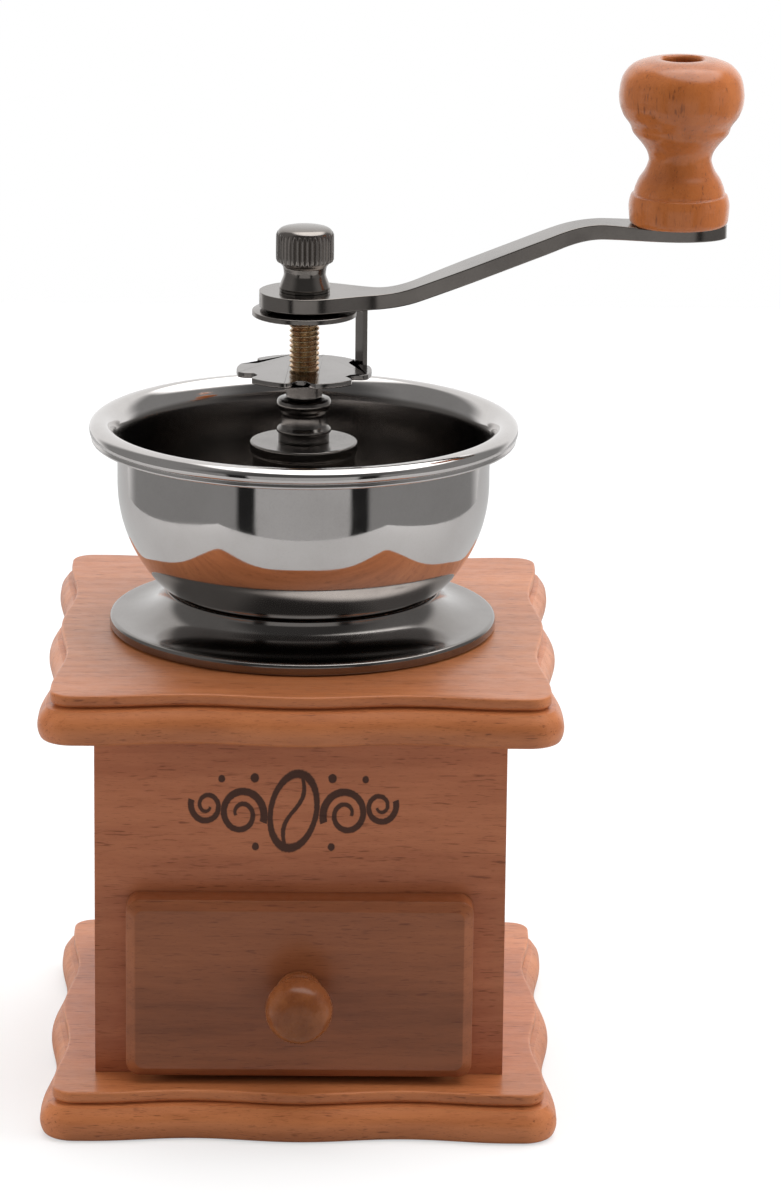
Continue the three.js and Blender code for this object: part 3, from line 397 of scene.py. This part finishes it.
def plain_beech(name, along, shift):
    """Bare beech, for what the case hides."""
    sheet = Sheet(bpy.data.materials.new(name))
    pale = paint(0.62, 0.42, 0.25)
    deep = paint(0.5, 0.32, 0.18)
    fleck = paint(0.34, 0.2, 0.11)
    color, relief, marks = beech_grain(sheet, along, shift, pale, deep, fleck)
    return sheet.surface({"Base Color": color, "Roughness": 0.62 + marks * 0.1}, relief, 0.03 * mm)


def zinc_steel():
    sheet = Sheet(bpy.data.materials.new("zinc_steel"))
    spots = sheet.noise(sheet.place(), 1.2, 3.0)
    color = sheet.blend(paint(0.5, 0.5, 0.49), paint(0.36, 0.35, 0.34), spots.rise(0.4, 0.7))
    sockets = {"Base Color": color, "Metallic": 1.0, "Roughness": spots * 0.2 + 0.22}
    return sheet.surface(sockets, sheet.noise(sheet.place(), 4.0), 0.004 * mm)


def dress(node, material, soften=0.0):
    """Gives a CAD node its material, and eases its sharp edges."""
    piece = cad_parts[node]
    for slot in piece.material_slots:
        slot.material = material
    if soften:
        ease = piece.modifiers.new("eased edges", "BEVEL")
        ease.width = soften
        ease.segments = 3
        ease.limit_method = "ANGLE"
        ease.angle_limit = math.radians(40)
        ease.harden_normals = True


front_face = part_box("front_panel")[0][1]
zinc = zinc_steel()
bare_beech = plain_beech("bare_beech", "Y", (40, 10, 0))
dress("front_panel", burned_beech("front_beech", "X", (620, 35, 210), front_pale, front_deep), arris_round)
dress("back_panel", varnished_beech("back_beech", "X", (880, 20, 130)), arris_round)
dress("left_panel", varnished_beech("left_beech", "Y", (60, 510, 320)), arris_round)
dress("right_panel", varnished_beech("right_beech", "Y", (120, 770, 60)), arris_round)
for hand in ("left", "right"):
    dress(hand + "_drawer_runner", bare_beech, arris_round)
for number in range(1, 5):
    dress(f"case_screw_{number}", zinc)
    dress(f"case_dowel_{number}", bare_beech)

# The drawer: a beech front with a wide bevel, glued to a plain box, and a turned knob that a
# screw holds from inside.

front_bevel = 2.1 * mm
front_corner = 3.3 * mm
front_ease = 0.2 * mm
bevel_drop = 1.5 * mm
corner_steps = 6
drawer_pale = paint(0.31, 0.1, 0.038)
drawer_deep = paint(0.19, 0.056, 0.02)
small_knob_pale = paint(0.29, 0.1, 0.034)
small_knob_deep = paint(0.17, 0.05, 0.017)


def rounded_corners(half_width, half_height, radius):
    """Points of an upright rectangle with round corners, anticlockwise from the lower right."""
    loop = []
    for quarter in range(4):
        sign_x = 1 if quarter in (0, 1) else -1
        sign_z = 1 if quarter in (1, 2) else -1
        start = (-90, 0, 90, 180)[quarter]
        for i in range(corner_steps + 1):
            angle = math.radians(start + 90 * i / corner_steps)
            x = sign_x * (half_width - radius) + radius * math.cos(angle)
            z = sign_z * (half_height - radius) + radius * math.sin(angle)
            loop.append((x, z))
    return loop


def drawer_front():
    low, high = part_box("drawer_front")
    half_width = high[0]
    half_height = (high[2] - low[2]) / 2
    middle = (high[2] + low[2]) / 2
    profile = rounded([
        (0, high[1]),
        (0, low[1] + bevel_drop),
        (front_bevel, low[1]),
        (front_bevel * 2, low[1]),
    ], front_ease)
    loops = []
    for inset, y in profile:
        radius = max(front_corner - inset * 0.6, front_ease)
        outline = rounded_corners(half_width - inset, half_height - inset, radius)
        loops.append([(x, y, middle + z) for x, z in reversed(outline)])
    return loft(loops[::-1])


def turned(profile, place=Matrix(), closed=False, steps=120):
    """A piece turned about the Z axis from [radius, height], then put in place."""
    loops = []
    for radius, height in profile:
        loop = []
        for i in range(steps):
            angle = 2 * math.pi * i / steps
            loop.append(place @ Vector((radius * math.cos(angle), radius * math.sin(angle), height)))
        loops.append(loop)
    return loft(loops, closed)


def turned_beech(name, along, shift, pale, deep, coat):
    """Beech for turned pieces, under a coat of varnish."""
    sheet = Sheet(bpy.data.materials.new(name))
    color, relief, marks = beech_grain(sheet, along, shift, pale, deep)
    rough = sheet.noise(sheet.place(), 0.4, 3.0) * 0.16 + 0.2 + marks * 0.1
    sockets = {"Base Color": color, "Roughness": rough, "Specular IOR Level": 0.2}
    sockets |= {"Coat Weight": coat, "Coat Roughness": 0.12}
    return sheet.surface(sockets, relief, 0.012 * mm)


drawer_knob_shares = [
    (0.72, 0), (0.7, 0.1), (0.56, 0.2), (0.6, 0.3), (0.86, 0.42), (0.98, 0.56),
    (1, 0.66), (0.95, 0.78), (0.78, 0.9), (0.5, 0.97), (0.2, 0.995), (0.04, 1),
]


def drawer_knob():
    low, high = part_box("drawer_knob")
    radius = high[0]
    length = high[1] - low[1]
    profile = [(share * radius, along * length) for share, along in drawer_knob_shares]
    level = (high[2] + low[2]) / 2
    place = Matrix.Translation((0, high[1], level)) @ Matrix.Rotation(math.radians(90), 4, "X")
    return turned(smooth_line(profile), place)


drawer_beech = varnished_beech("drawer_beech", "X", (150, 400, 530), drawer_pale, drawer_deep)
drawer_knob_beech = turned_beech(
    "drawer_knob_beech", "Y", (30, 60, 20), small_knob_pale, small_knob_deep, 0.2
)
make("bevelled_front", drawer_front(), drawer_beech, "drawer", ["drawer_front"])
make("small_knob", drawer_knob(), drawer_knob_beech, "drawer", ["drawer_knob"])
for node in ("drawer_left_side", "drawer_right_side", "drawer_back", "drawer_bottom"):
    dress(node, bare_beech, arris_round)
dress("drawer_knob_screw", zinc)

# The flange ring and the bean bowl, spun from sheet steel, polished and plated with dark
# nickel. Three screws clamp them to the top board.

flange_land = 2.7 * mm
flange_edge = 2.9 * mm
flange_wall = 1.8 * mm
neck_radius = 32.4 * mm
neck_height = 9.3 * mm
seat_radius = 30.6 * mm
plate_round = 0.5 * mm
curve_steps = 24
# The colour of the painted shade on the bowl's inside.
inside_shade_color = paint(0.24, 0.222, 0.208)
bowl_bright = paint(0.6, 0.575, 0.56)
bowl_dull = paint(0.52, 0.495, 0.48)
plate_bright = paint(0.26, 0.243, 0.23)
plate_dull = paint(0.205, 0.188, 0.176)
bridge_bright = paint(0.2, 0.185, 0.172)
bridge_dull = paint(0.13, 0.12, 0.112)


def dark_nickel(name, bright, dull, shine, grit, grit_depth, darker=None):
    """Plated steel: a little uneven in tone and shine, with the grit of the sheet under it."""
    sheet = Sheet(bpy.data.materials.new(name))
    place = sheet.place()
    smudge = sheet.noise(place, 0.07, 4.0, 0.6)
    fine = sheet.noise(place, grit, 2.0, 0.6)
    color = sheet.blend(bright, dull, smudge.rise(0.3, 0.75) * 0.6 + fine.rise(0.45, 0.8) * 0.4)
    rough = shine + smudge.rise(0.35, 0.8) * 0.06 + fine.rise(0.5, 0.8) * 0.04
    # Painted shade: where the mask is 1 the colour turns to the dark shade colour, and the roughness rises.
    if darker:
        part = darker(sheet)
        color = sheet.blend(color, inside_shade_color, part)
        rough = rough + part * 0.12
    sockets = {"Base Color": color, "Metallic": 1.0, "Roughness": rough}
    return sheet.surface(sockets, fine, grit_depth)


def painted_inside_shade(sheet):
    """Painted shade: 1 on the bowl's inside below its rim, which is painted darker and made a little rougher
    there, and 0 on its rim and outside.
    """
    normal = sheet.add("ShaderNodeTexCoord", {}, {}, "Normal")
    x, y, z = sheet.axes(sheet.place())
    across, along, up = sheet.axes(normal)
    outward = (x * across + y * along) / (x**2 + y**2) ** 0.5
    below_rim = (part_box("bean_bowl")[1][2] - rim_height) / mm + 1
    return outward.rise(0.15, 0.0) * z.rise(below_rim + 1, below_rim)


def flare(outer, inner, bottom, top):
    """A hollow curve from a level rim up to an upright neck."""
    line = []
    for i in range(curve_steps + 1):
        angle = math.radians(90 * i / curve_steps)
        radius = outer - (outer - inner) * math.sin(angle)
        line.append((radius, bottom + (top - bottom) * (1 - math.cos(angle))))
    return line


def flange_ring():
    low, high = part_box("flange_ring")
    radius = high[0]
    flat = radius - flange_land
    edge_top = low[2] + flange_edge
    neck_top = low[2] + neck_height
    edge = rounded([
        (flat, low[2]),
        (radius, low[2]),
        (radius, edge_top),
        (flat, edge_top),
    ], 2 * plate_round)
    neck = flare(flat, neck_radius, edge_top, neck_top - plate_round)
    seat = rounded([
        (neck_radius, neck_top - plate_round),
        (neck_radius, neck_top),
        (seat_radius, neck_top),
        (seat_radius, high[2]),
        (board_hole, high[2]),
        (board_hole, neck_top - flange_wall),
    ], plate_round)
    under = flare(flat, neck_radius - flange_wall, low[2], neck_top - flange_wall)
    return turned([*edge, *neck[1:-1], *seat, *reversed(under[1:])], closed=True, steps=180)


bowl_foot = 34.2 * mm
bowl_wall = 1.2 * mm
bowl_curve = 34 * mm
bowl_radius = 43.8 * mm
bowl_hole = 23 * mm
rim_height = 5.4 * mm
rim_shares = [
    (0, 0), (0.1, 0.14), (0.5, 0.15), (0.86, 0.15), (0.93, 0.26), (0.89, 0.37), (0.97, 0.46),
    (1, 0.62), (0.97, 0.8), (0.82, 0.95), (0.6, 1), (0.4, 0.94), (0.2, 0.72), (0.04, 0.42),
]


def wall_curve(offset, foot):
    """The bowl's wall from its foot up to where it stands upright."""
    radius = bowl_curve - offset
    middle = bowl_radius - bowl_curve
    sweep = math.acos(1 - (bowl_radius - bowl_foot) / bowl_curve)
    level = foot + bowl_curve * math.sin(sweep)
    line = []
    for i in range(curve_steps + 1):
        angle = sweep * (1 - i / curve_steps)
        line.append((middle + radius * math.cos(angle), level - radius * math.sin(angle)))
    return line


def bean_bowl():
    low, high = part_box("bean_bowl")
    rim_width = high[0] - bowl_radius
    rim_bottom = high[2] - rim_height
    floor = low[2] + bowl_wall
    rim = [(bowl_radius + out * rim_width, rim_bottom + up * rim_height) for out, up in rim_shares]
    inside = [spot for spot in wall_curve(bowl_wall, low[2]) if spot[1] > floor + plate_round]
    floor_edge = rounded([inside[0], (inside[0][0] - bowl_wall, floor), (bowl_hole, floor)], 2 * plate_round)
    return turned([
        (bowl_hole, low[2]),
        *wall_curve(0, low[2]),
        *smooth_line(rim, 5),
        (bowl_radius - bowl_wall, rim_bottom),
        *reversed(inside),
        *floor_edge[1:],
    ], closed=True, steps=180)


# The bowl's inside gets painted shade.
bowl_nickel = dark_nickel("bowl_nickel", bowl_bright, bowl_dull, 0.05, 2.6, 0.0012 * mm, painted_inside_shade)
plate_nickel = dark_nickel("plate_nickel", plate_bright, plate_dull, 0.13, 2.0, 0.001 * mm)
bridge_nickel = dark_nickel("bridge_nickel", bridge_bright, bridge_dull, 0.2, 2.0, 0.002 * mm)
make("spun_flange", flange_ring(), plate_nickel, "case", ["flange_ring"])
make("spun_bowl", bean_bowl(), bowl_nickel, "case", ["bean_bowl"])
for number in range(1, 4):
    dress(f"clamp_screw_{number}", zinc)
    dress(f"clamp_nut_{number}", zinc)

# The bearing bridge stands over the bowl's hole on three broad legs, with arched windows for
# the beans. The guide bush on its cap is turned from bar, and carries the shaft.

cap_radius = 12.7 * mm
cap_thick = 3 * mm
cap_ease = 0.6 * mm
bridge_wall = 2 * mm
bridge_shoulder = 6 * mm
bridge_leg = 22 * mm
bridge_foot_thick = 1.7 * mm
bridge_bore = 5.1 * mm
window_width = 17 * mm
window_height = 15 * mm
window_steps = 16


def bridge_dome():
    low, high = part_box("bearing_bridge")
    foot_top = low[2] + bridge_foot_thick
    cap_bottom = high[2] - cap_thick
    shoulder = cap_bottom - bridge_shoulder
    neck = cap_radius - cap_ease
    return turned(rounded([
        (bridge_leg - bridge_wall, low[2]),
        (high[0], low[2]),
        (high[0], foot_top),
        (bridge_leg + bridge_wall / 2, foot_top),
        (bridge_leg - bridge_wall / 4, foot_top + bridge_wall),
        (neck, shoulder),
        (neck, cap_bottom),
        (cap_radius, cap_bottom + cap_ease),
        (cap_radius, high[2]),
        (bridge_bore, high[2]),
        (bridge_bore, cap_bottom),
        (neck - bridge_wall, cap_bottom),
        (neck - bridge_wall, shoulder),
        (bridge_leg - bridge_wall, foot_top),
    ], cap_ease, closed=True), closed=True)


def bridge_window(turn):
    low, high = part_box("bearing_bridge")
    sill = low[2] + bridge_foot_thick
    half = window_width / 2
    spring = sill + window_height - half / 2
    outline = [(half, sill), (half, spring)]
    for i in range(1, window_steps):
        angle = math.pi * i / window_steps
        outline.append((half * math.cos(angle), spring + half / 2 * math.sin(angle)))
    outline += [(-half, spring), (-half, sill)]
    place = Matrix.Rotation(math.radians(turn), 4, "Z")
    return loft([[place @ Vector((x, y, z)) for x, z in outline] for y in (high[0], 0)])


bridge = make("arched_bridge", bridge_dome(), bridge_nickel, "case", ["bearing_bridge"])
for number in range(3):
    mesh = bpy.data.meshes.new("window")
    points, faces = bridge_window(180 + 120 * number)
    mesh.from_pydata(points, [], faces)
    window = bpy.data.objects.new("window", mesh)
    bpy.context.scene.collection.objects.link(window)
    cut = bridge.modifiers.new("window", "BOOLEAN")
    cut.object = window
    cut.solver = "EXACT"
    shaped = bpy.data.meshes.new_from_object(bridge.evaluated_get(bpy.context.evaluated_depsgraph_get()))
    bridge.modifiers.clear()
    bridge.data = shaped
    bpy.data.objects.remove(window)
bridge.data.set_sharp_from_angle(angle=math.radians(35))

bush_bore = 3.65 * mm
bush_collar_share = 1.03
bush_shares = [
    (0.94, 0), (0.97, 0.02), (0.97, 0.13), (1.03, 0.15), (1.03, 0.19), (0.97, 0.22), (0.9, 0.26),
    (0.86, 0.34), (0.85, 0.42), (0.9, 0.46), (0.98, 0.5), (1.03, 0.55), (1.03, 0.6), (0.97, 0.65),
    (0.78, 0.67), (0.7, 0.69), (0.68, 0.72), (0.68, 0.99), (0.66, 1),
]


def guide_bush():
    low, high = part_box("guide_bush")
    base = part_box("bearing_bridge")[1][2]
    radius = high[0] / bush_collar_share
    outside = [(share * radius, base + up * (high[2] - base)) for share, up in bush_shares]
    return turned([*smooth_line(outside, 4), (bush_bore, high[2]), (bush_bore, base)], closed=True)


make("turned_bush", guide_bush(), bridge_nickel, "case", ["guide_bush"])

# The grinding gear: a fixed ring and a turning cone of bare cast iron, with the spring, washers
# and nut that hold the cone on the shaft.


def cast_iron():
    sheet = Sheet(bpy.data.materials.new("cast_iron"))
    lumps = sheet.noise(sheet.place(), 0.9, 5.0, 0.65)
    color = sheet.blend(paint(0.085, 0.082, 0.08), paint(0.16, 0.15, 0.145), lumps.rise(0.35, 0.7))
    sockets = {"Base Color": color, "Metallic": 0.85, "Roughness": lumps * 0.25 + 0.4}
    return sheet.surface(sockets, lumps, 0.12 * mm)


iron = cast_iron()
for node in ("burr_ring", "cone_burr"):
    dress(node, iron)
for node in ("burr_spring", "spring_washer", "burr_washer", "burr_nut"):
    dress(node, zinc)

# The shaft is a yellow plated screw. The adjusting disc turns on its thread, and the lock
# plate's leg drops into one of the disc's six notches.

thread_pitch = 1.2 * mm
thread_depth = 0.55 * mm
shaft_radius = 3.5 * mm
shaft_top_radius = 2.8 * mm
shaft_tail_radius = 2.4 * mm
thread_below_disc = 4 * mm
thread_rings = 10
shaft_sides = 48


def yellow_zinc():
    sheet = Sheet(bpy.data.materials.new("yellow_zinc"))
    place = sheet.place()
    drift = sheet.noise(place, 0.35, 3.0)
    color = sheet.blend(paint(0.72, 0.53, 0.33), paint(0.56, 0.35, 0.21), drift.rise(0.35, 0.65))
    color = sheet.blend(color, paint(0.58, 0.56, 0.32), sheet.noise(place, 0.6).rise(0.55, 0.75) * 0.5)
    sockets = {"Base Color": color, "Metallic": 1.0, "Roughness": sheet.noise(place, 3.0) * 0.2 + 0.16}
    return sheet.surface(sockets, sheet.noise(place, 5.0), 0.004 * mm)


def threaded_shaft():
    low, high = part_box("centre_shaft")
    thread_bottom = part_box("adjusting_disc")[0][2] - thread_below_disc
    thread_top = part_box("crank_arm")[0][2]
    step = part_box("cone_burr")[0][2]
    levels = [(low[2], shaft_tail_radius), (step, shaft_tail_radius), (step, shaft_radius)]
    levels += [(thread_bottom, shaft_radius)]
    loops = [[(r * math.cos(a), r * math.sin(a), z) for a in ring_angles] for z, r in levels]
    rings = math.ceil((thread_top - thread_bottom) / thread_pitch * thread_rings)
    for i in range(1, rings):
        z = thread_bottom + (thread_top - thread_bottom) * i / rings
        loop = []
        for a in ring_angles:
            phase = (z / thread_pitch - a / (2 * math.pi)) % 1
            groove = thread_depth * max(0, 1 - abs(phase - 0.5) * 2.6) ** 0.8
            r = shaft_radius - groove
            loop.append((r * math.cos(a), r * math.sin(a), z))
        loops.append(loop)
    for z, r in ((thread_top, shaft_top_radius), (high[2], shaft_top_radius)):
        loops.append([(r * math.cos(a), r * math.sin(a), z) for a in ring_angles])
    return loft(loops)


ring_angles = [2 * math.pi * i / shaft_sides for i in range(shaft_sides)]
make("threaded_shaft", threaded_shaft(), yellow_zinc(), "spindle", ["centre_shaft"], crease=60)

disc_notches = 6
notch_angle = 27
notch_depth = 3.1 * mm
notch_half = 2.4 * mm
notch_mouth = 3.5 * mm
notch_mouth_depth = 0.9 * mm
leg_width = 4 * mm
leg_inner = 14.4 * mm
plate_radius = 12.3 * mm
plate_flat = 7.4 * mm
plate_dish = 0.7 * mm
plate_thick = 1.2 * mm
notch_round = 0.6 * mm
sheet_ease = 0.25 * mm
nickel_bright = paint(0.25, 0.228, 0.21)
nickel_dull = paint(0.18, 0.162, 0.15)


def around(radius, degrees):
    return (radius * math.cos(math.radians(degrees)), radius * math.sin(math.radians(degrees)))


def stamped(outline, bottom, top, ease):
    """A plate cut from sheet, with its edges eased."""
    middle = Vector((sum(x for x, y in outline), sum(y for x, y in outline))) / len(outline)
    loops = []
    for inset, z in rounded([(ease * 2, bottom), (0, bottom), (0, top), (ease * 2, top)], ease):
        loop = []
        for i, (x, y) in enumerate(outline):
            along = Vector(outline[(i + 1) % len(outline)]) - Vector(outline[i - 1])
            out = Vector((along.y, -along.x)).normalized()
            loop.append((x - out.x * inset, y - out.y * inset, z))
        loops.append(loop)
    return loft(loops)


def disc_outline():
    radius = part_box("adjusting_disc")[1][1]
    side = math.degrees(math.asin(notch_half / radius))
    mouth = math.degrees(math.asin(notch_mouth / radius))
    outline = []
    for i in range(disc_notches):
        centre = notch_angle + 360 / disc_notches * i
        far = 360 / disc_notches - mouth
        outline += [
            around(radius - notch_depth, centre - side * 0.6),
            around(radius - notch_depth, centre + side * 0.6),
            around(radius - notch_mouth_depth, centre + side),
        ]
        outline += [around(radius, centre + mouth + (far - mouth) * k / 16) for k in range(17)]
        outline.append(around(radius - notch_mouth_depth, centre + 360 / disc_notches - side))
    return rounded(outline, notch_round, closed=True, steps=3)


def lock_plate():
    """A shallow dish, its rim lower than its middle."""
    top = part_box("lock_plate")[1][2]
    line = rounded([
        (plate_flat, top - plate_thick),
        (plate_radius, top - plate_thick - plate_dish),
        (plate_radius, top - plate_dish),
        (plate_flat, top),
    ], sheet_ease)
    return turned([(shaft_radius, top - plate_thick), *line, (shaft_radius, top)], closed=True)


def lock_leg():
    """A tab bent down from the plate's rim."""
    low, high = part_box("lock_plate")
    top = high[2] - plate_dish
    outer = leg_inner + plate_thick
    half = leg_width / 2
    side = rounded([
        (plate_radius - plate_thick, top - plate_thick),
        (leg_inner, top - plate_thick),
        (leg_inner, low[2]),
        (outer, low[2]),
        (outer, top),
        (plate_radius - plate_thick, top),
    ], sheet_ease * 2, closed=True)
    turn = Matrix.Rotation(math.radians(notch_angle), 3, "Z")
    widths = [(-half, sheet_ease), (sheet_ease - half, 0), (half - sheet_ease, 0), (half, sheet_ease)]
    middle = Vector((leg_inner + plate_thick / 2, 0, (top + low[2]) / 2))
    loops = []
    for across, inset in widths:
        shrink = 1 - inset / plate_thick / 4
        loops.append([turn @ Vector((middle.x + (x - middle.x) * shrink, across, z)) for x, z in side])
    return loft(loops)


disc_low, disc_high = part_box("adjusting_disc")
satin_nickel = dark_nickel("satin_nickel", nickel_bright, nickel_dull, 0.17, 3.0, 0.0015 * mm)
disc_shape = stamped(disc_outline(), disc_low[2], disc_high[2], sheet_ease)
make("notched_disc", disc_shape, plate_nickel, "adjuster", ["adjusting_disc"])
make("round_lock_plate", lock_plate(), satin_nickel, "spindle", ["lock_plate"])
make("lock_plate_leg", lock_leg(), satin_nickel, "spindle")

# The crank arm, forged from flat bar with two bends and a swell between them, and the knurled
# nut that holds it down.

crank_radius = 86.9 * mm
crank_rise = 17.05 * mm
crank_thick = 3.55 * mm
paddle_thick = 2.95 * mm
hub_radius = 10.65 * mm
waist_half = 4.1 * mm
swell_half = 5.8 * mm
paddle_half = 7.2 * mm
paddle_end = 11.3 * mm
bend_length = 11 * mm
bend_shares = (0.246, 0.74)
hub_share = 0.228
swell_shares = (0.219, 0.461, 0.633, 0.783)
paddle_share = 0.94
arm_ease = 0.3 * mm
arm_stations = 150
hub_stations = 24


def smooth_step(value, start, end):
    t = min(max((value - start) / (end - start), 0), 1)
    return t * t * (3 - 2 * t)


def arm_half_width(x):
    if x < 0:
        return math.sqrt(max(hub_radius**2 - x**2, 0))
    share = x / crank_radius
    hub = (hub_radius - waist_half) * (1 - smooth_step(share, 0, hub_share))
    rise = smooth_step(share, swell_shares[0], swell_shares[1])
    fall = 1 - smooth_step(share, swell_shares[2], swell_shares[3])
    swell = (swell_half - waist_half) * min(rise, fall)
    paddle = (paddle_half - waist_half) * smooth_step(share, swell_shares[3], 1)
    past = max(x - crank_radius, 0) / paddle_end
    return (waist_half + hub + swell + paddle) * math.sqrt(max(1 - past**2, 0))


def arm_course(x):
    """The arm's height over its hub and its slope, with both bends rounded."""
    first, second = (crank_radius * share for share in bend_shares)
    slope = crank_rise / (second - first)

    def through(place):
        return min(max(place / bend_length + 0.5, 0), 1)

    def climb(place):
        return place if place > bend_length / 2 else bend_length * through(place) ** 2 / 2

    height = slope * (climb(x - first) - climb(x - second))
    return height, slope * (through(x - first) - through(x - second))


def crank_arm():
    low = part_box("crank_arm")[0]
    ends = [math.cos(math.radians(90 * i / hub_stations)) for i in range(1, hub_stations)]
    stations = [-hub_radius * share for share in ends]
    stations += [crank_radius * i / arm_stations for i in range(arm_stations + 1)]
    stations += [crank_radius + paddle_end * share for share in reversed(ends)]
    loops = []
    for x in stations:
        half = arm_half_width(x)
        height, slope = arm_course(x)
        lean = math.atan(slope)
        flattened = smooth_step(x / crank_radius, swell_shares[3], paddle_share)
        edge = (crank_thick - (crank_thick - paddle_thick) * flattened) / 2
        middle = low[2] + edge + height
        section = rounded([(-half, -edge), (half, -edge), (half, edge), (-half, edge)], arm_ease, True, 4)
        loops.append([(x - up * math.sin(lean), y, middle + up * math.cos(lean)) for y, up in section])
    return loft(loops)


nut_shares = [
    (0.86, 0), (0.885, 0.012), (0.875, 0.035), (0.815, 0.107), (0.772, 0.155), (0.737, 0.203),
    (0.728, 0.25), (0.741, 0.298), (0.763, 0.347), (0.843, 0.395), (0.915, 0.435), (0.97, 0.465),
    (0.97, 0.86), (0.96, 0.885), (0.915, 0.925), (0.78, 0.965), (0.45, 0.992), (0.1, 1),
]
nut_knurls = 34
knurl_shares = (0.42, 0.455, 0.865, 0.89)
knurl_depth = 0.42 * mm
knurl_points = 8


def thumb_nut():
    low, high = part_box("thumb_nut")
    radius = high[1]
    height = high[2] - low[2]
    loops = []
    for share, up in smooth_line(nut_shares, 4):
        start, full, fade, end = knurl_shares
        knurl = min(smooth_step(up, start, full), 1 - smooth_step(up, fade, end))
        loop = []
        for i in range(nut_knurls * knurl_points):
            angle = 2 * math.pi * i / (nut_knurls * knurl_points)
            ridge = abs((i / knurl_points) % 1 - 0.5) * 2
            groove = knurl_depth * knurl * (1 - min(ridge * 1.6, 1))
            out = share * radius + (0.03 * radius * knurl) - groove
            loop.append((out * math.cos(angle), out * math.sin(angle), low[2] + up * height))
        loops.append(loop)
    return loft(loops)


make("forged_arm", crank_arm(), satin_nickel, "spindle", ["crank_arm"])
make("knurled_nut", thumb_nut(), satin_nickel, "nut", ["thumb_nut"])
dress("nut_washer", satin_nickel)

# The crank knob, turned from beech and varnished, spins on a screw that sits deep in its top.

knob_shares = [
    (0.75, 0), (0.79, 0.02), (0.808, 0.083), (0.808, 0.122), (0.79, 0.157), (0.768, 0.177), (0.73, 0.185),
    (0.727, 0.199), (0.705, 0.229), (0.648, 0.277), (0.563, 0.325), (0.512, 0.374), (0.506, 0.403),
    (0.543, 0.447), (0.634, 0.496), (0.75, 0.546), (0.783, 0.569), (0.802, 0.592), (0.841, 0.617),
    (0.893, 0.642), (0.933, 0.666), (0.981, 0.713), (1, 0.757), (1, 0.797), (0.972, 0.862), (0.917, 0.91),
    (0.794, 0.959), (0.62, 0.986), (0.48, 0.998), (0.37, 1),
]
knob_pale = paint(0.58, 0.185, 0.052)
knob_deep = paint(0.43, 0.125, 0.032)
counterbore_radius = 4.75 * mm
counterbore_depth = 24.6 * mm
counterbore_ease = 0.5 * mm
knob_bore = 2.7 * mm


def crank_knob():
    low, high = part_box("crank_knob")
    radius = high[1]
    height = high[2] - low[2]
    floor = high[2] - counterbore_depth
    outside = [(share * radius, low[2] + up * height) for share, up in knob_shares]
    hole = rounded([
        (counterbore_radius + counterbore_ease, high[2]),
        (counterbore_radius, high[2] - counterbore_ease),
        (counterbore_radius, floor),
        (knob_bore, floor),
    ], counterbore_ease)
    place = Matrix.Translation(((low[0] + high[0]) / 2, 0, 0))
    return turned([*smooth_line(outside, 6), *hole, (knob_bore, low[2])], place, closed=True)


knob_beech = turned_beech("knob_beech", "Z", (15, 80, 260), knob_pale, knob_deep, 0.6)
make("turned_knob", crank_knob(), knob_beech, "handle", ["crank_knob"])
dress("knob_pin", zinc)

# The studio: a small white table top, a white background, a grey room that is dim in front and
# bright behind the mill, a lamp overhead and one at each side.

table_half = 0.42
table_front = 0.335
table_white = paint(0.48, 0.48, 0.48)
side_lamp_place = (0.8, -0.22, 0.25)
side_lamp_size = 0.4
side_lamp_watts = 3.6
room_level = 0.3
overhead_level = 3.2


def white_table():
    sheet = Sheet(bpy.data.materials.new("white_table"))
    path = sheet.add("ShaderNodeLightPath", {}, {}, "Is Camera Ray")
    lit = sheet.add("ShaderNodeBsdfDiffuse", {}, {"Color": table_white})
    glow = sheet.add("ShaderNodeEmission", {}, {"Color": paint(1, 1, 1), "Strength": path * 0.5})
    both = sheet.add("ShaderNodeAddShader", {}, {0: lit, 1: glow})
    sheet.add("ShaderNodeOutputMaterial", {}, {"Surface": both})
    return sheet.owner


def studio_world():
    sheet = Sheet(bpy.data.worlds.new("studio"))
    x, y, z = sheet.axes(sheet.add("ShaderNodeTexCoord", {}, {}, "Generated"))
    bearing = abs(x.maths("ARCTAN2", x, 0 - y)) * (180 / math.pi)
    low = z.rise(0.1, 0)
    window = bearing.rise(31, 28)
    flags = bearing.rise(28, 31) * bearing.rise(43, 39)
    dim_front = (1 - low) * bearing.rise(75, 35)
    behind = bearing.rise(125, 145)
    level = room_level + low * (window * 0.2 - flags * 0.28) - dim_front * 0.2 + behind * 0.75
    lamp = (x * 0.2 + y * 0.15 + z * 0.97).rise(0.78, 0.9)
    level = level * (1 - lamp) + lamp * overhead_level
    path = sheet.add("ShaderNodeLightPath", {}, {}, "Is Camera Ray")
    level = level * (1 - path) + path
    light = sheet.add("ShaderNodeBackground", {}, {"Color": paint(1, 1, 1), "Strength": level})
    sheet.add("ShaderNodeOutputWorld", {}, {"Surface": light})
    bpy.context.scene.world = sheet.owner


table_back = 2 * table_half
corners = [(-table_half, -table_front), (table_half, -table_front)]
corners += [(table_half, table_back), (-table_half, table_back)]
mesh = bpy.data.meshes.new("table")
mesh.from_pydata([(x, y, 0) for x, y in corners], [], [(0, 1, 2, 3)])
mesh.materials.append(white_table())
table = bpy.data.objects.new("table", mesh)
bpy.context.scene.collection.objects.link(table)
studio_world()
for side in (-1, 1):
    lamp = bpy.data.lights.new("side_lamp", "AREA")
    lamp.size = side_lamp_size
    lamp.energy = side_lamp_watts
    stand = bpy.data.objects.new("side_lamp", lamp)
    stand.location = (side * side_lamp_place[0], side_lamp_place[1], side_lamp_place[2])
    aim = Vector((0, 0, side_lamp_place[2] / 2)) - stand.location
    stand.rotation_euler = aim.to_track_quat("-Z", "Y").to_euler()
    stand.visible_glossy = False
    bpy.context.scene.collection.objects.link(stand)
bpy.context.scene.view_settings.view_transform = "Standard"
